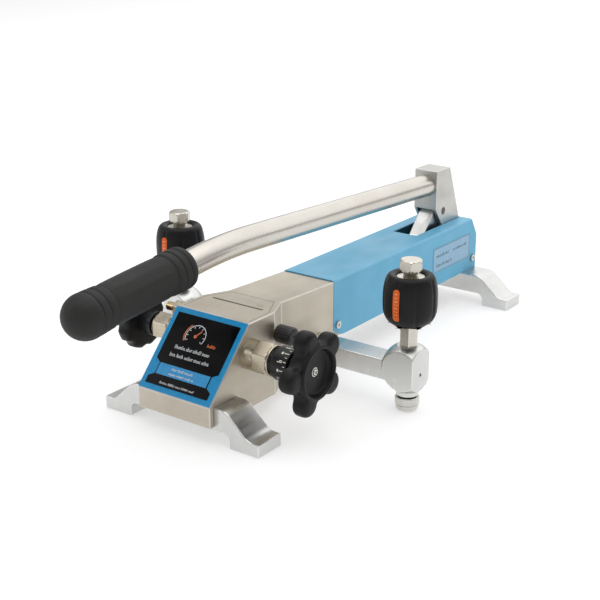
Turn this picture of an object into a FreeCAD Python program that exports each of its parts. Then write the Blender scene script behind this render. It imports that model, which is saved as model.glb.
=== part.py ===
"""High-pressure pneumatic bench hand pump, built as separate named pieces.

Frame: origin on the bench, under the middle of the whole pump. +X is the right
hand side, +Y runs from the grip to the rear foot and +Z is up. Millimetres.
Places along the pump are counted from the front face of the front foot.
"""
import FreeCAD, Part
import math
import os
import Sketcher

V = FreeCAD.Vector
doc = FreeCAD.newDocument("HandPump")
sheet = doc.addObject("Spreadsheet::Sheet", "Dims")


# ---------------------------------------------------------------- dimensions

SIZES = {
    # feet, one bridge casting at each end
    "foot_half_width": 77.5,
    "foot_depth": 28,
    "foot_top": 29.5,
    "foot_flat_half": 42,
    "foot_slope_angle": 42,
    "foot_sweep": 12,
    "foot_toe_height": 10.5,
    "arch_half_width": 50,
    "arch_height": 11.5,
    "arch_corner": 6,
    "foot_spacing": 393,
    # manifold block
    "block_half_width": 36,
    "block_nose": 5,
    "block_bottom": 14,
    "slope_foot_height": 31,
    "slope_run": 48.6,
    "deck_height": 83.4,
    "deck_rear_drop": 3,
    "taper_start": 75,
    "taper_end": 96.5,
    "block_length": 170.3,
    "groove_place": 74,
    "groove_width": 2.2,
    "groove_half": 25.5,
    "label_thickness": 0.8,
    "panel_thickness": 0.3,
    "label_edge": 0.4,
    "label_border": 4.6,
    "panel_neck": 5,
    "panel_band": 5.8,
    "panel_box": 9.4,
    "panel_flare": 3,
    # folded cover and chassis
    "cover_half_width": 26.2,
    "cover_top": 81.4,
    "cover_sheet": 1,
    "cover_end": 422,
    "cover_chamfer_run": 11,
    "cover_chamfer_drop": 17.6,
    "cover_notch": 13.7,
    "slot_half_width": 13,
    "slot_front": 326,
    "slot_rear": 409.2,
    "base_sheet": 2.5,
    "side_screw_rise": 11.1,
    "bracket_lead": 4,
    "foot_screw_x": 15,
    "data_plate_front": 335.6,
    "data_plate_length": 70.4,
    "data_plate_low": 43,
    "data_plate_height": 24.5,
    # lever and its fulcrum
    "pin_place": 375.7,
    "pin_height": 94.9,
    "pin_radius": 3.8,
    "tail_place": 398,
    "tail_rise": 2,
    "tail_pin_radius": 4,
    "tail_eye_radius": 8.3,
    "head_half_width": 12.5,
    "head_notch_half": 9.2,
    "head_notch_rise": 9.5,
    "head_front_wall": 4.9,
    "head_front_low": 3.2,
    "head_top": 136,
    "head_front": 362,
    "head_top_rear": 387,
    "head_slot_rear": 408.2,
    "socket_depth": 18,
    "fulcrum_arm_half": 7.8,
    "fulcrum_eye_radius": 7.8,
    "fulcrum_arm_depth": 15.2,
    "fulcrum_arm_flat": 11,
    "fulcrum_arm_clearance": 1.5,
    "fulcrum_arm_slope": 1.08,
    # handle
    "tube_radius": 10.6,
    "tube_wall": 2,
    "bend_place": 59.2,
    "bend_height": 134.66,
    "bend_radius": 480,
    "handle_rise": 2.57,
    "handle_droop": 5.15,
    "grip_reach": 106.6,
    "grip_length": 119,
    "grip_radius": 15.8,
    "grip_end_radius": 17,
    "grip_cushion": 9,
    # pump cylinder, piston and crosshead
    "cylinder_clearance": 1,
    "bore_radius": 13,
    "barrel_wall": 4,
    "barrel_front": 180,
    "barrel_rear": 300,
    "rear_head_length": 18,
    "piston_front": 281,
    "piston_length": 15,
    "rod_radius": 6,
    "crosshead_length": 24,
    "crosshead_half_width": 8,
    "crosshead_half_height": 12,
    "running_gap": 0.05,
    "slot_side_gap": 0.65,
    "tie_rod_radius": 2.5,
    "tie_rod_x": 19.5,
    "tie_rod_setdown": 3.6,
    # side arms, end blocks and test ports
    "port_place": 140.7,
    "port_x": 118.2,
    "arm_front": 129.7,
    "arm_depth": 22,
    "arm_bottom": 24.5,
    "arm_top": 41.5,
    "end_ball_radius": 21,
    "end_ball_height": 35.8,
    "end_half_depth": 13,
    "end_facet": 11.8,
    "end_top": 55,
    "stem_across_flats": 13.6,
    "stem_hex_top": 73.2,
    "stem_radius": 6.8,
    "collar_radius": 11,
    "collar_bottom": 104,
    "collar_top": 111.5,
    "sleeve_bottom": 73.5,
    "sleeve_belt_low": 84,
    "sleeve_belt_high": 101,
    "sleeve_top": 113.6,
    "sleeve_radius": 21.5,
    "sleeve_foot_radius": 12.5,
    "sleeve_crown_radius": 18,
    "window_width": 7,
    "window_bottom": 80,
    "window_top": 106,
    "window_depth": 2,
    "plug_across_flats": 17,
    "plug_thread_radius": 6,
    "plug_seat": 116,
    "plug_top": 125.5,
    "drain_boss_radius": 9,
    "drain_boss_bottom": 13,
    "drain_cap_radius": 9.9,
    "drain_cap_rim": 9.2,
    "drain_cap_bottom": 1,
    # valves, one on each side: a large one on the right, a small one on the left
    "valve_place": 43,
    "valve_height": 59.4,
    "valve_thread_radius": 8,
    "valve_thread_depth": 14,
    "valve_chamber": 2,
    "spindle_radius": 4,
    "right_rise": 0,
    "right_boss_radius": 12,
    "right_boss_length": 11,
    "right_across_flats": 24,
    "right_hex_length": 13,
    "right_flange_radius": 12.6,
    "right_flange_length": 2,
    "right_gland_radius": 9,
    "right_gland_length": 8,
    "right_index_radius": 13.5,
    "right_index_length": 14,
    "right_index_cup": 4.5,
    "right_hub_radius": 11,
    "right_hub_length": 8,
    "right_knob_thickness": 14.4,
    "right_dish_radius": 17,
    "right_dish_depth": 5.5,
    "left_rise": 3.6,
    "left_boss_radius": 10.5,
    "left_boss_length": 4,
    "left_across_flats": 20.4,
    "left_hex_length": 14,
    "left_flange_radius": 10,
    "left_flange_length": 1.5,
    "left_gland_radius": 7,
    "left_gland_length": 5,
    "left_index_radius": 10.2,
    "left_index_length": 8,
    "left_index_cup": 3.5,
    "left_hub_radius": 9.4,
    "left_hub_length": 3.6,
    "left_knob_thickness": 13.5,
    "left_dish_radius": 14.5,
    "left_dish_depth": 3.5,
    "dish_flare": 1.2,
    "lobe_circle": 25.3,
    "lobe_radius": 9.5,
    "valley_radius": 11,
    "valley_circle": 32.5,
    "star_turn": 197,
    "round_knob_radius": 23.3,
    "scoop_radius": 9,
    "scoop_depth": 1.8,
    # small knob and fitting
    "vent_place": 76.5,
    "vent_height": 66.5,
    "vent_knob_radius": 7.5,
    "vent_knob_length": 15.9,
    "vent_stand_off": 3.4,
    "relief_place": 57,
    "relief_height": 74.5,
    "relief_across_flats": 12,
    "relief_length": 13,
    "relief_tip_radius": 3.6,
    "relief_tip_length": 9,
}

for row, (alias, value) in enumerate(SIZES.items(), start=1):
    sheet.set(f"A{row}", alias)
    sheet.set(f"B{row}", str(value))
    sheet.setAlias(f"B{row}", alias)
doc.recompute()


class Size:
    """A length that carries both its value and its spreadsheet formula."""

    def __init__(self, text, value):
        self.text = text
        self.value = value

    def __add__(self, other):
        other = as_size(other)
        return Size(f"({self.text} + {other.text})", self.value + other.value)

    def __sub__(self, other):
        other = as_size(other)
        return Size(f"({self.text} - {other.text})", self.value - other.value)

    def __mul__(self, other):
        other = as_size(other)
        return Size(f"({self.text} * {other.text})", self.value * other.value)

    def __truediv__(self, other):
        other = as_size(other)
        return Size(f"({self.text} / {other.text})", self.value / other.value)

    def __neg__(self):
        return Size(f"(0 - {self.text})", -self.value)

    def __radd__(self, other):
        return as_size(other) + self

    def __rsub__(self, other):
        return as_size(other) - self

    def __rmul__(self, other):
        return as_size(other) * self

    def __rtruediv__(self, other):
        return as_size(other) / self


def as_size(number):
    return number if isinstance(number, Size) else Size(repr(number), number)


def sine(angle):
    angle = as_size(angle)
    return Size(f"sin({angle.text})", math.sin(math.radians(angle.value)))


def cosine(angle):
    angle = as_size(angle)
    return Size(f"cos({angle.text})", math.cos(math.radians(angle.value)))


def tangent(angle):
    angle = as_size(angle)
    return Size(f"tan({angle.text})", math.tan(math.radians(angle.value)))


def root(area):
    return Size(f"sqrt({area.text})", math.sqrt(area.value))


class Sizes:
    """The spreadsheet's cells, read by name."""


d = Sizes()
for alias in SIZES:
    setattr(d, alias, Size(f"Dims.{alias}", float(sheet.get(alias))))

origin_shift = (d.grip_reach - d.cover_end) / 2
base_top = d.foot_top + d.base_sheet
barrel_radius = d.bore_radius + d.barrel_wall
rod_height = base_top + d.cylinder_clearance + barrel_radius
tail_height = rod_height + d.tail_rise
side_screw_height = d.foot_top + d.side_screw_rise


def along(place):
    """A place counted from the front foot's face, in the pump's own frame."""
    return origin_shift + place


# ------------------------------------------------------------- building tools

SIDES = (("right", 1), ("left", -1))
AXIS_TURN = {
    "X": FreeCAD.Rotation(V(0, 1, 0), 90),
    "-X": FreeCAD.Rotation(V(0, 1, 0), -90),
    "Y": FreeCAD.Rotation(V(1, 0, 0), -90),
    "-Y": FreeCAD.Rotation(V(1, 0, 0), 90),
    "Z": FreeCAD.Rotation(),
    "-Z": FreeCAD.Rotation(V(1, 0, 0), 180),
}


def bind(item, prop, size):
    item.setExpression(prop, as_size(size).text)


def place(item, x=0, y=0, z=0, axis="Z"):
    item.Placement = FreeCAD.Placement(V(), AXIS_TURN[axis])
    for letter, size in zip("xyz", (x, y, z)):
        bind(item, f"Placement.Base.{letter}", size)
    return item


def box(label, xs, ys, zs):
    item = doc.addObject("Part::Box", label)
    for prop, (low, high) in zip(("Length", "Width", "Height"), (xs, ys, zs)):
        bind(item, prop, as_size(high) - low)
    return place(item, xs[0], ys[0], zs[0])


def rod(label, radius, length, x=0, y=0, z=0, axis="Z"):
    item = doc.addObject("Part::Cylinder", label)
    bind(item, "Radius", radius)
    bind(item, "Height", length)
    return place(item, x, y, z, axis)


def hexagon(label, across_flats, length, x=0, y=0, z=0, axis="Z"):
    item = doc.addObject("Part::Prism", label)
    item.Polygon = 6
    bind(item, "Circumradius", across_flats / (2 * cosine(30)))
    bind(item, "Height", length)
    return place(item, x, y, z, axis)


def fuse(label, *items):
    item = doc.addObject("Part::MultiFuse", label)
    item.Shapes = list(items)
    return item


def cut(label, base, *tools):
    item = doc.addObject("Part::Cut", label)
    item.Base = base
    item.Tool = tools[0] if len(tools) == 1 else fuse(f"{label}_tools", *tools)
    return item


def group(label, *items):
    """Like fasteners kept as separate solids in one node."""
    item = doc.addObject("Part::Compound", label)
    item.Links = list(items)
    return item


def body(label):
    return doc.addObject("PartDesign::Body", label)


def plane_of(owner, role):
    return next(item for item in owner.Origin.OriginFeatures if item.Role == role)


def arc_through(start, end, radius):
    """Centre of the arc from start to end; it turns left when radius > 0."""
    half = (end - start) * 0.5
    lift = math.sqrt(max(radius * radius - half.Length ** 2, 0))
    left = V(-half.y, half.x, 0).normalize()
    return start + half + left * math.copysign(lift, radius)


def sketch(owner, role, points, label):
    """A closed outline on one of the body's own planes.

    Each point is (across, up) or (across, up, radius); a radius makes the
    stretch to the next point an arc, to the left when it is positive.
    """
    item = owner.newObject("Sketcher::SketchObject", label)
    item.AttachmentSupport = [(plane_of(owner, role), "")]
    item.MapMode = "FlatFace"
    spots = [V(as_size(p[0]).value, as_size(p[1]).value, 0) for p in points]
    count = len(points)
    ends = []
    for index, point in enumerate(points):
        start, end = spots[index], spots[(index + 1) % count]
        if len(point) == 2:
            item.addGeometry(Part.LineSegment(start, end), False)
            ends.append((1, 2))
            continue
        radius = as_size(point[2]).value
        centre = arc_through(start, end, radius)
        first, last = (start, end) if radius > 0 else (end, start)
        angles = [math.atan2(p.y - centre.y, p.x - centre.x) for p in (first, last)]
        circle = Part.Circle(centre, V(0, 0, 1), abs(radius))
        item.addGeometry(Part.ArcOfCircle(circle, angles[0], angles[1]), False)
        ends.append((1, 2) if radius > 0 else (2, 1))
    for index, point in enumerate(points):
        after = (index + 1) % count
        item.addConstraint(Sketcher.Constraint(
            "Coincident", index, ends[index][1], after, ends[after][0]))
    for index, point in enumerate(points):
        for kind, size in zip(("DistanceX", "DistanceY"), point):
            spot = item.addConstraint(Sketcher.Constraint(
                kind, -1, 1, index, ends[index][0], as_size(size).value))
            bind(item, f"Constraints[{spot}]", size)
        if len(point) == 3:
            size = as_size(point[2])
            size = size if size.value > 0 else -size
            spot = item.addConstraint(Sketcher.Constraint("Radius", index, size.value))
            bind(item, f"Constraints[{spot}]", size)
    return item


def circle_sketch(owner, role, radius, across=0, up=0, label="Circle"):
    item = owner.newObject("Sketcher::SketchObject", label)
    item.AttachmentSupport = [(plane_of(owner, role), "")]
    item.MapMode = "FlatFace"
    centre = V(as_size(across).value, as_size(up).value, 0)
    item.addGeometry(Part.Circle(centre, V(0, 0, 1), as_size(radius).value), False)
    spot = item.addConstraint(Sketcher.Constraint("Radius", 0, as_size(radius).value))
    bind(item, f"Constraints[{spot}]", radius)
    for kind, size in (("DistanceX", across), ("DistanceY", up)):
        spot = item.addConstraint(Sketcher.Constraint(
            kind, -1, 1, 0, 3, as_size(size).value))
        bind(item, f"Constraints[{spot}]", size)
    return item


def raise_from(owner, kind, profile, length, both_ways=True):
    """A Pad or a Pocket of the profile, evenly about its plane or one way."""
    item = owner.newObject(f"PartDesign::{kind}", kind)
    item.Profile = profile
    item.SideType = "Symmetric" if both_ways else "One side"
    bind(item, "Length", length)
    profile.Visibility = False
    return item


def slab(label, role, points, thickness):
    """A plate of even thickness, half of it on each side of its plane."""
    owner = body(label)
    raise_from(owner, "Pad", sketch(owner, role, points, f"{label}_outline"), thickness)
    return owner


def turned(label, points):
    """A piece turned about its own Z, from an outline of (radius, height)."""
    owner = body(label)
    outline = sketch(owner, "XZ_Plane", points, f"{label}_outline")
    item = owner.newObject("PartDesign::Revolution", "Turning")
    item.Profile = outline
    item.ReferenceAxis = (outline, ["V_Axis"])
    item.Angle = 360
    return owner


def tube_outline(inner, outer, low, high):
    return [(inner, low), (outer, low), (outer, high), (inner, high)]


pieces = {}


def keep(item, *where, **turn):
    """Record a finished piece, placed in the pump's frame."""
    if where or turn:
        place(item, *where, **turn)
    pieces[item.Label] = item
    return item


# ---------------------------------------------------------------------- feet

def foot_outline():
    """Half of the bridge from the middle of its top to the arch, then mirrored."""
    sweep_x = d.foot_sweep * sine(d.foot_slope_angle)
    sweep_z = d.foot_sweep * (1 - cosine(d.foot_slope_angle))
    slope_top = d.foot_top - sweep_z
    slope_low = d.foot_toe_height + sweep_z
    slope_start = d.foot_flat_half + sweep_x
    slope_end = slope_start + (slope_top - slope_low) / tangent(d.foot_slope_angle)
    half = [
        (d.foot_flat_half, d.foot_top, -d.foot_sweep),
        (slope_start, slope_top),
        (slope_end, slope_low, d.foot_sweep),
        (slope_end + sweep_x, d.foot_toe_height),
        (d.foot_half_width, d.foot_toe_height),
        (d.foot_half_width, 0),
        (d.arch_half_width, 0),
        (d.arch_half_width, d.arch_height - d.arch_corner, d.arch_corner),
        (d.arch_half_width - d.arch_corner, d.arch_height),
    ]
    mirrored = []
    for index in range(len(half) - 1, -1, -1):
        across, up = half[index][:2]
        before = half[index - 1] if index else (0, 0)
        mirrored.append((-across, up) + tuple(before[2:]))
    return half + mirrored


screw_xs = (-d.foot_screw_x, d.foot_screw_x)
screw_shank = 2.5
screw_head_radius = 4.3
for label, face in (("front_foot", 0), ("rear_foot", d.foot_spacing)):
    foot = slab(f"{label}_casting", "XZ_Plane", foot_outline(), d.foot_depth)
    middle = along(face + d.foot_depth / 2)
    place(foot, 0, middle, 0)
    holes = [rod(f"{label}_hole_{count}", screw_shank + 0.25, d.foot_top, x, middle, 0)
             for count, x in enumerate(screw_xs)]
    sinks = [rod(f"{label}_sink_{count}", screw_head_radius + 0.7, d.arch_height + 5, x, middle, 0)
             for count, x in enumerate(screw_xs)]
    keep(cut(label, foot, *holes, *sinks))

# ------------------------------------------------------------ manifold block

deck_start = d.slope_run - d.block_nose
block_side = [
    (along(-d.block_nose), d.block_bottom),
    (along(-0.2), d.block_bottom),
    (along(-0.2), d.foot_top),
    (along(d.foot_depth + 0.2), d.foot_top),
    (along(d.foot_depth + 0.2), d.block_bottom),
    (along(d.block_length), d.block_bottom),
    (along(d.block_length), d.deck_height - d.deck_rear_drop),
    (along(d.taper_end), d.deck_height),
    (along(deck_start), d.deck_height),
    (along(-d.block_nose), d.slope_foot_height),
]
billet = slab("billet", "YZ_Plane", block_side, 2 * d.block_half_width)
for side, sign in SIDES:
    waste = [
        (sign * d.cover_half_width, along(d.taper_end)),
        (sign * (d.block_half_width + 1), along(d.taper_start - 2)),
        (sign * (d.block_half_width + 1), along(d.block_length + 1)),
        (sign * d.cover_half_width, along(d.block_length + 1)),
    ]
    outline = sketch(billet, "XY_Plane", waste, f"{side}_taper")
    raise_from(billet, "Pocket", outline, 4 * d.deck_height)

inner_half = d.cover_half_width - d.cover_sheet - 0.1
inner_top = d.cover_top - d.cover_sheet - 0.1
spigot = box("spigot", (-inner_half, inner_half), (along(d.block_length - 1), along(d.barrel_front)),
             (base_top + 0.1, d.deck_height - d.deck_rear_drop - 0.5))
groove_low = d.deck_height - 1
groove = box("groove", (-d.groove_half, d.groove_half),
             (along(d.groove_place - d.groove_width / 2), along(d.groove_place + d.groove_width / 2)),
             (groove_low, d.deck_height + 1))
valve_pockets = []
for side, sign in SIDES:
    axis = "X" if sign > 0 else "-X"
    pocket_depth = d.valve_thread_depth + d.valve_chamber
    valve_pockets.append(rod(f"{side}_valve_pocket", d.valve_thread_radius, pocket_depth + 1,
                             sign * (d.block_half_width - pocket_depth), along(d.valve_place),
                             d.valve_height + getattr(d, f"{side}_rise"), axis))
cross_gallery = rod("cross_gallery", 2, 2 * d.block_half_width - 20, 10 - d.block_half_width,
                    along(d.valve_place), d.valve_height, "X")
main_gallery = rod("main_gallery", 2.5, d.barrel_front - d.valve_place, 0, along(d.valve_place),
                   d.valve_height, "Y")
arm_gallery = rod("arm_gallery", 2.5, 2 * d.cover_half_width, -d.cover_half_width,
                  along(d.arm_front + d.arm_depth / 2), (d.arm_bottom + d.arm_top) / 2, "X")
riser = rod("riser", 2.5, d.valve_height - (d.arm_bottom + d.arm_top) / 2, 0,
            along(d.arm_front + d.arm_depth / 2), (d.arm_bottom + d.arm_top) / 2)

# check valves sit in two pockets bored from the cylinder end of the block
check_x = 7
check_depth = 22
check_ball_radius = 4
check_pockets = []
balls = []
springs = []
for side, sign in SIDES:
    x = sign * check_x
    check_pockets.append(rod(f"{side}_check_pocket", check_ball_radius + 0.6, check_depth + 1, x,
                             along(d.barrel_front - check_depth), rod_height, "Y"))
    ball = doc.addObject("Part::Sphere", f"{side}_ball")
    bind(ball, "Radius", check_ball_radius)
    balls.append(place(ball, x, along(d.barrel_front - check_depth + check_ball_radius), rod_height))
    coil = doc.addObject("Part::Helix", f"{side}_coil_line")
    bind(coil, "Radius", check_ball_radius - 1)
    coil.Pitch = 2.4
    coil.Height = 10.8
    wire = doc.addObject("Part::Circle", f"{side}_coil_wire")
    wire.Radius = 0.45
    place(coil, 0, 0, 0)
    wire.Placement = FreeCAD.Placement(V(), AXIS_TURN["Y"])
    bind(wire, "Placement.Base.x", check_ball_radius - 1)
    sweep = doc.addObject("Part::Sweep", f"{side}_coil")
    sweep.Sections = [wire]
    sweep.Spine = (coil, [])
    sweep.Solid = True
    sweep.Frenet = True
    springs.append(place(sweep, x, along(d.barrel_front - check_depth + 2 * check_ball_radius + 0.6),
                         rod_height, "Y"))
keep(group("check_balls", *balls))
keep(group("check_springs", *springs))

foot_screw_holes = [rod(f"block_screw_hole_{count}", 2.5, 10, x, along(d.foot_depth / 2), d.foot_top)
                    for count, x in enumerate(screw_xs)]
bored_billet = fuse("bored_billet", billet, spigot)
block_bores = [groove, *valve_pockets, cross_gallery, main_gallery, arm_gallery, riser,
               *check_pockets, *foot_screw_holes]

# --------------------------------------------------------------- front label

slope_rise = d.deck_height - d.slope_foot_height
slope_length = root(d.slope_run * d.slope_run + slope_rise * slope_rise)
slope_angle = Size(f"atan({slope_rise.text} / {d.slope_run.text})",
                   math.degrees(math.atan(slope_rise.value / d.slope_run.value)))


def on_slope(item, lift):
    """Lay a piece on the sloping face; its own Y runs up the slope."""
    bind(item, "Placement.Rotation.Angle", slope_angle)
    bind(item, "Placement.Base.x", 0)
    bind(item, "Placement.Base.y", along(-d.block_nose) - lift * sine(slope_angle))
    bind(item, "Placement.Base.z", d.slope_foot_height + lift * cosine(slope_angle))
    return item


def slope_plate(label, points, low, high):
    owner = body(label)
    owner.Placement = FreeCAD.Placement(V(), FreeCAD.Rotation(V(1, 0, 0), slope_angle.value))
    outline = sketch(owner, "XY_Plane", points, f"{label}_outline")
    raise_from(owner, "Pad", outline, high - low, both_ways=False)
    return on_slope(owner, low)


label_half = d.block_half_width - d.label_edge
keep(slope_plate("label_plate", [
    (-label_half, d.label_edge), (label_half, d.label_edge),
    (label_half, slope_length - d.label_edge), (-label_half, slope_length - d.label_edge),
], 0, d.label_thickness))
panel_half = label_half - d.label_border
neck_half = panel_half - d.panel_neck
panel_low = d.label_edge + d.label_border
neck_low = panel_low + d.panel_band + d.panel_flare
neck_high = neck_low + d.panel_box
panel_side = [
    (panel_half, panel_low), (panel_half, panel_low + d.panel_band),
    (neck_half, neck_low), (neck_half, neck_high),
    (panel_half, neck_high + d.panel_flare), (panel_half, slope_length - panel_low),
]
keep(slope_plate("label_panel", panel_side + [(-across, up) for across, up in reversed(panel_side)],
                 d.label_thickness, d.label_thickness + d.panel_thickness))

# ------------------------------------------------------------ folded cover

chamfer_start = d.cover_end - d.cover_chamfer_run
chamfer_foot = d.cover_top - d.cover_chamfer_drop
cover_side = [
    (along(d.block_length), d.foot_top + 6.5),
    (along(d.block_length + d.cover_notch), d.foot_top),
    (along(d.cover_end), d.foot_top),
    (along(d.cover_end), chamfer_foot),
    (along(chamfer_start), d.cover_top),
    (along(d.block_length), d.cover_top),
]
cover_inside = [
    (along(d.block_length - 1), d.foot_top - 1),
    (along(d.cover_end - d.cover_sheet), d.foot_top - 1),
    (along(d.cover_end - d.cover_sheet), chamfer_foot - 0.55 * d.cover_sheet),
    (along(chamfer_start - 0.55 * d.cover_sheet), d.cover_top - d.cover_sheet),
    (along(d.block_length - 1), d.cover_top - d.cover_sheet),
]
shell = slab("shell", "YZ_Plane", cover_side, 2 * d.cover_half_width)
inside = sketch(shell, "YZ_Plane", cover_inside, "inside")
raise_from(shell, "Pocket", inside, 2 * (d.cover_half_width - d.cover_sheet))
slot_cut = box("slot_cut", (-d.slot_half_width, d.slot_half_width),
               (along(d.slot_front), along(d.slot_rear)), (d.cover_top - 5, d.cover_top + 5))

front_screw_place = d.block_length + 5.9
rear_screw_place = chamfer_start + 2.2
screw_places = [(sign, spot) for sign in (1, -1) for spot in (front_screw_place, rear_screw_place)]


def side_rods(label, radius, start, end):
    """One short bar at each of the four cover screws, from |X| start to end."""
    bars = []
    for index, (sign, spot) in enumerate(screw_places):
        axis = "X" if sign > 0 else "-X"
        bars.append(rod(f"{label}_{index}", radius, end - start, sign * start, along(spot),
                        side_screw_height, axis))
    return bars


keep(cut("cover", shell, slot_cut,
         *side_rods("cover_hole", 2, d.cover_half_width - 2, d.cover_half_width + 1)))
screw_grip = 4
block_bores += side_rods("block_cover_hole", 1.8, d.cover_half_width - screw_grip, d.cover_half_width)[::2]
heads = side_rods("screw_head", 3.4, d.cover_half_width, d.cover_half_width + 1.8)
shanks = side_rods("screw_shank", 1.8, d.cover_half_width - screw_grip, d.cover_half_width + 0.5)
sockets = side_rods("screw_socket", 1.2, d.cover_half_width + 0.6, d.cover_half_width + 2)
keep(group("cover_screws", *[cut(f"cover_screw_{index}", fuse(f"screw_blank_{index}", head, shank), hole)
                             for index, (head, shank, hole) in enumerate(zip(heads, shanks, sockets))]))
data_plate_rear = d.data_plate_front + d.data_plate_length
keep(box("data_plate", (d.cover_half_width, d.cover_half_width + 0.4),
         (along(d.data_plate_front), along(data_plate_rear)),
         (d.data_plate_low, d.data_plate_low + d.data_plate_height)))

# ----------------------------------------------- chassis inside the cover

plate_half = d.cover_half_width - d.cover_sheet - 0.1
chassis = box("chassis_strip", (-plate_half, plate_half), (along(d.block_length), along(d.cover_end - 2)),
              (d.foot_top, base_top))
rear_foot_middle = d.foot_spacing + d.foot_depth / 2
chassis_holes = [rod(f"chassis_hole_{count}", 2.5, 5, x, along(rear_foot_middle), d.foot_top - 1)
                 for count, x in enumerate(screw_xs)]
keep(cut("base_plate", chassis, *chassis_holes))
bracket_front = d.foot_spacing + d.bracket_lead
bracket_rear = d.cover_end - d.cover_sheet - 1.2
lug_top = side_screw_height + 7
lug_inner = d.head_half_width + 4.5
bracket_block = box("bracket_block", (-plate_half, plate_half), (along(bracket_front), along(bracket_rear)),
                    (base_top, lug_top))
bracket_gap = box("bracket_gap", (-lug_inner, lug_inner),
                  (along(bracket_front - 1), along(bracket_rear + 1)), (base_top + 3, lug_top + 1))
bracket_holes = [rod(f"bracket_hole_{count}", screw_shank, 8, x, along(rear_foot_middle), base_top - 1)
                 for count, x in enumerate(screw_xs)]
screw_head = 4.8
sink_top = d.arch_height + 5
chassis_screws = []
for name, middle, reach_up in (
    ("front", d.foot_depth / 2, 9), ("rear", rear_foot_middle, d.base_sheet + 3),
):
    for count, x in enumerate(screw_xs):
        head = rod(f"{name}_screw_head_{count}", screw_head_radius, screw_head, x, along(middle),
                   sink_top - screw_head)
        shank = rod(f"{name}_screw_shank_{count}", screw_shank, d.foot_top - sink_top + reach_up, x,
                    along(middle), sink_top)
        key = hexagon(f"{name}_screw_key_{count}", 4, 3, x, along(middle), sink_top - screw_head - 1)
        blank = fuse(f"{name}_screw_blank_{count}", head, shank)
        chassis_screws.append(cut(f"{name}_screw_{count}", blank, key))
keep(group("chassis_screws", *chassis_screws))
keep(cut("rear_bracket", bracket_block, bracket_gap, *bracket_holes,
         *side_rods("lug_hole", 1.8, d.cover_half_width - 7, d.cover_half_width)))

barrel = turned("cylinder", tube_outline(d.bore_radius, barrel_radius, 0, d.barrel_rear - d.barrel_front))
keep(barrel, 0, along(d.barrel_front), rod_height, axis="Y")
head_rear = d.barrel_rear + d.rear_head_length
head_clearance = 4.3
head_half = d.cover_half_width - d.cover_sheet - 1.7
rear_head_block = box("rear_head_block", (-head_half, head_half), (along(d.barrel_rear), along(head_rear)),
                      (base_top, inner_top - head_clearance))
gland_bore = rod("gland_bore", d.rod_radius + d.running_gap, d.rear_head_length + 2, 0,
                 along(d.barrel_rear - 1), rod_height, "Y")

tie_rod_rise = barrel_radius - d.tie_rod_setdown
tie_places = [(x, z) for x in (-d.tie_rod_x, d.tie_rod_x) for z in (-tie_rod_rise, tie_rod_rise)]
tie_front = d.block_length - 8
tie_rods = []
tie_holes = []
for index, (x, rise) in enumerate(tie_places):
    height = rod_height + rise
    bar = rod(f"tie_bar_{index}", d.tie_rod_radius, head_rear - tie_front, x, along(tie_front), height, "Y")
    nut = hexagon(f"tie_nut_{index}", 7, 3.6, x, along(head_rear), height, "Y")
    tie_rods.append(fuse(f"tie_rod_{index}", bar, nut))
    block_bores.append(rod(f"tie_tapping_{index}", d.tie_rod_radius, d.barrel_front - tie_front + 1, x,
                           along(tie_front), height, "Y"))
    tie_holes.append(rod(f"tie_hole_{index}", d.tie_rod_radius, d.rear_head_length + 2, x,
                         along(d.barrel_rear - 1), height, "Y"))
keep(group("tie_rods", *tie_rods))
keep(cut("rear_head", rear_head_block, gland_bore, *tie_holes))

# ------------------------------------------------------- fulcrum arm and pin

# the arm runs level over the crosshead, then climbs to the pin
arm_pad = 4.5
arm_foot_low = rod_height + 10
arm_under = rod_height + d.crosshead_half_height + d.fulcrum_arm_clearance
arm_over = arm_under + d.fulcrum_arm_flat
slope_factor = root(1 + d.fulcrum_arm_slope * d.fulcrum_arm_slope)
half_rise = d.fulcrum_arm_depth / 2 * slope_factor
end_run = d.fulcrum_arm_depth / 2 * d.fulcrum_arm_slope / slope_factor
end_rise = d.fulcrum_arm_depth / 2 / slope_factor
under_knee = d.pin_place - (d.pin_height - half_rise - arm_under) / d.fulcrum_arm_slope
over_knee = d.pin_place - (d.pin_height + half_rise - arm_over) / d.fulcrum_arm_slope
arm_side = [
    (along(head_rear), arm_foot_low),
    (along(head_rear + arm_pad), arm_foot_low),
    (along(head_rear + arm_pad), arm_under),
    (along(under_knee), arm_under),
    (along(d.pin_place + end_run), d.pin_height - end_rise),
    (along(d.pin_place - end_run), d.pin_height + end_rise),
    (along(over_knee), arm_over),
    (along(head_rear), arm_over),
]
arm_bar = slab("arm_bar", "YZ_Plane", arm_side, 2 * d.fulcrum_arm_half)


def cross_bar(label, radius, half, spot, height):
    """A round bar lying across the pump, even about the middle plane."""
    return rod(label, radius, 2 * half, -half, along(spot), height, "X")


arm_eye = cross_bar("arm_eye", d.fulcrum_eye_radius, d.fulcrum_arm_half, d.pin_place, d.pin_height)
arm_hole = cross_bar("arm_hole", d.pin_radius, d.fulcrum_arm_half + 1, d.pin_place, d.pin_height)
keep(cut("fulcrum_arm", fuse("arm_blank", arm_bar, arm_eye), arm_hole))
pin_half = d.head_half_width + 0.2
keep(cross_bar("fulcrum_pin", d.pin_radius, pin_half, d.pin_place, d.pin_height))
clips = []
for side, sign in SIDES:
    ring = cross_bar(f"{side}_clip_disc", d.pin_radius + 1.6, 0.4, d.pin_place, d.pin_height)
    bind(ring, "Placement.Base.x", sign * (d.fulcrum_arm_half + 0.7) - 0.4)
    clips.append(cut(f"{side}_clip", ring, cross_bar(f"{side}_clip_bore", d.pin_radius, pin_half,
                                                     d.pin_place, d.pin_height)))
keep(group("pin_clips", *clips))

# --------------------------------------------------- piston, rod, crosshead

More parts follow.
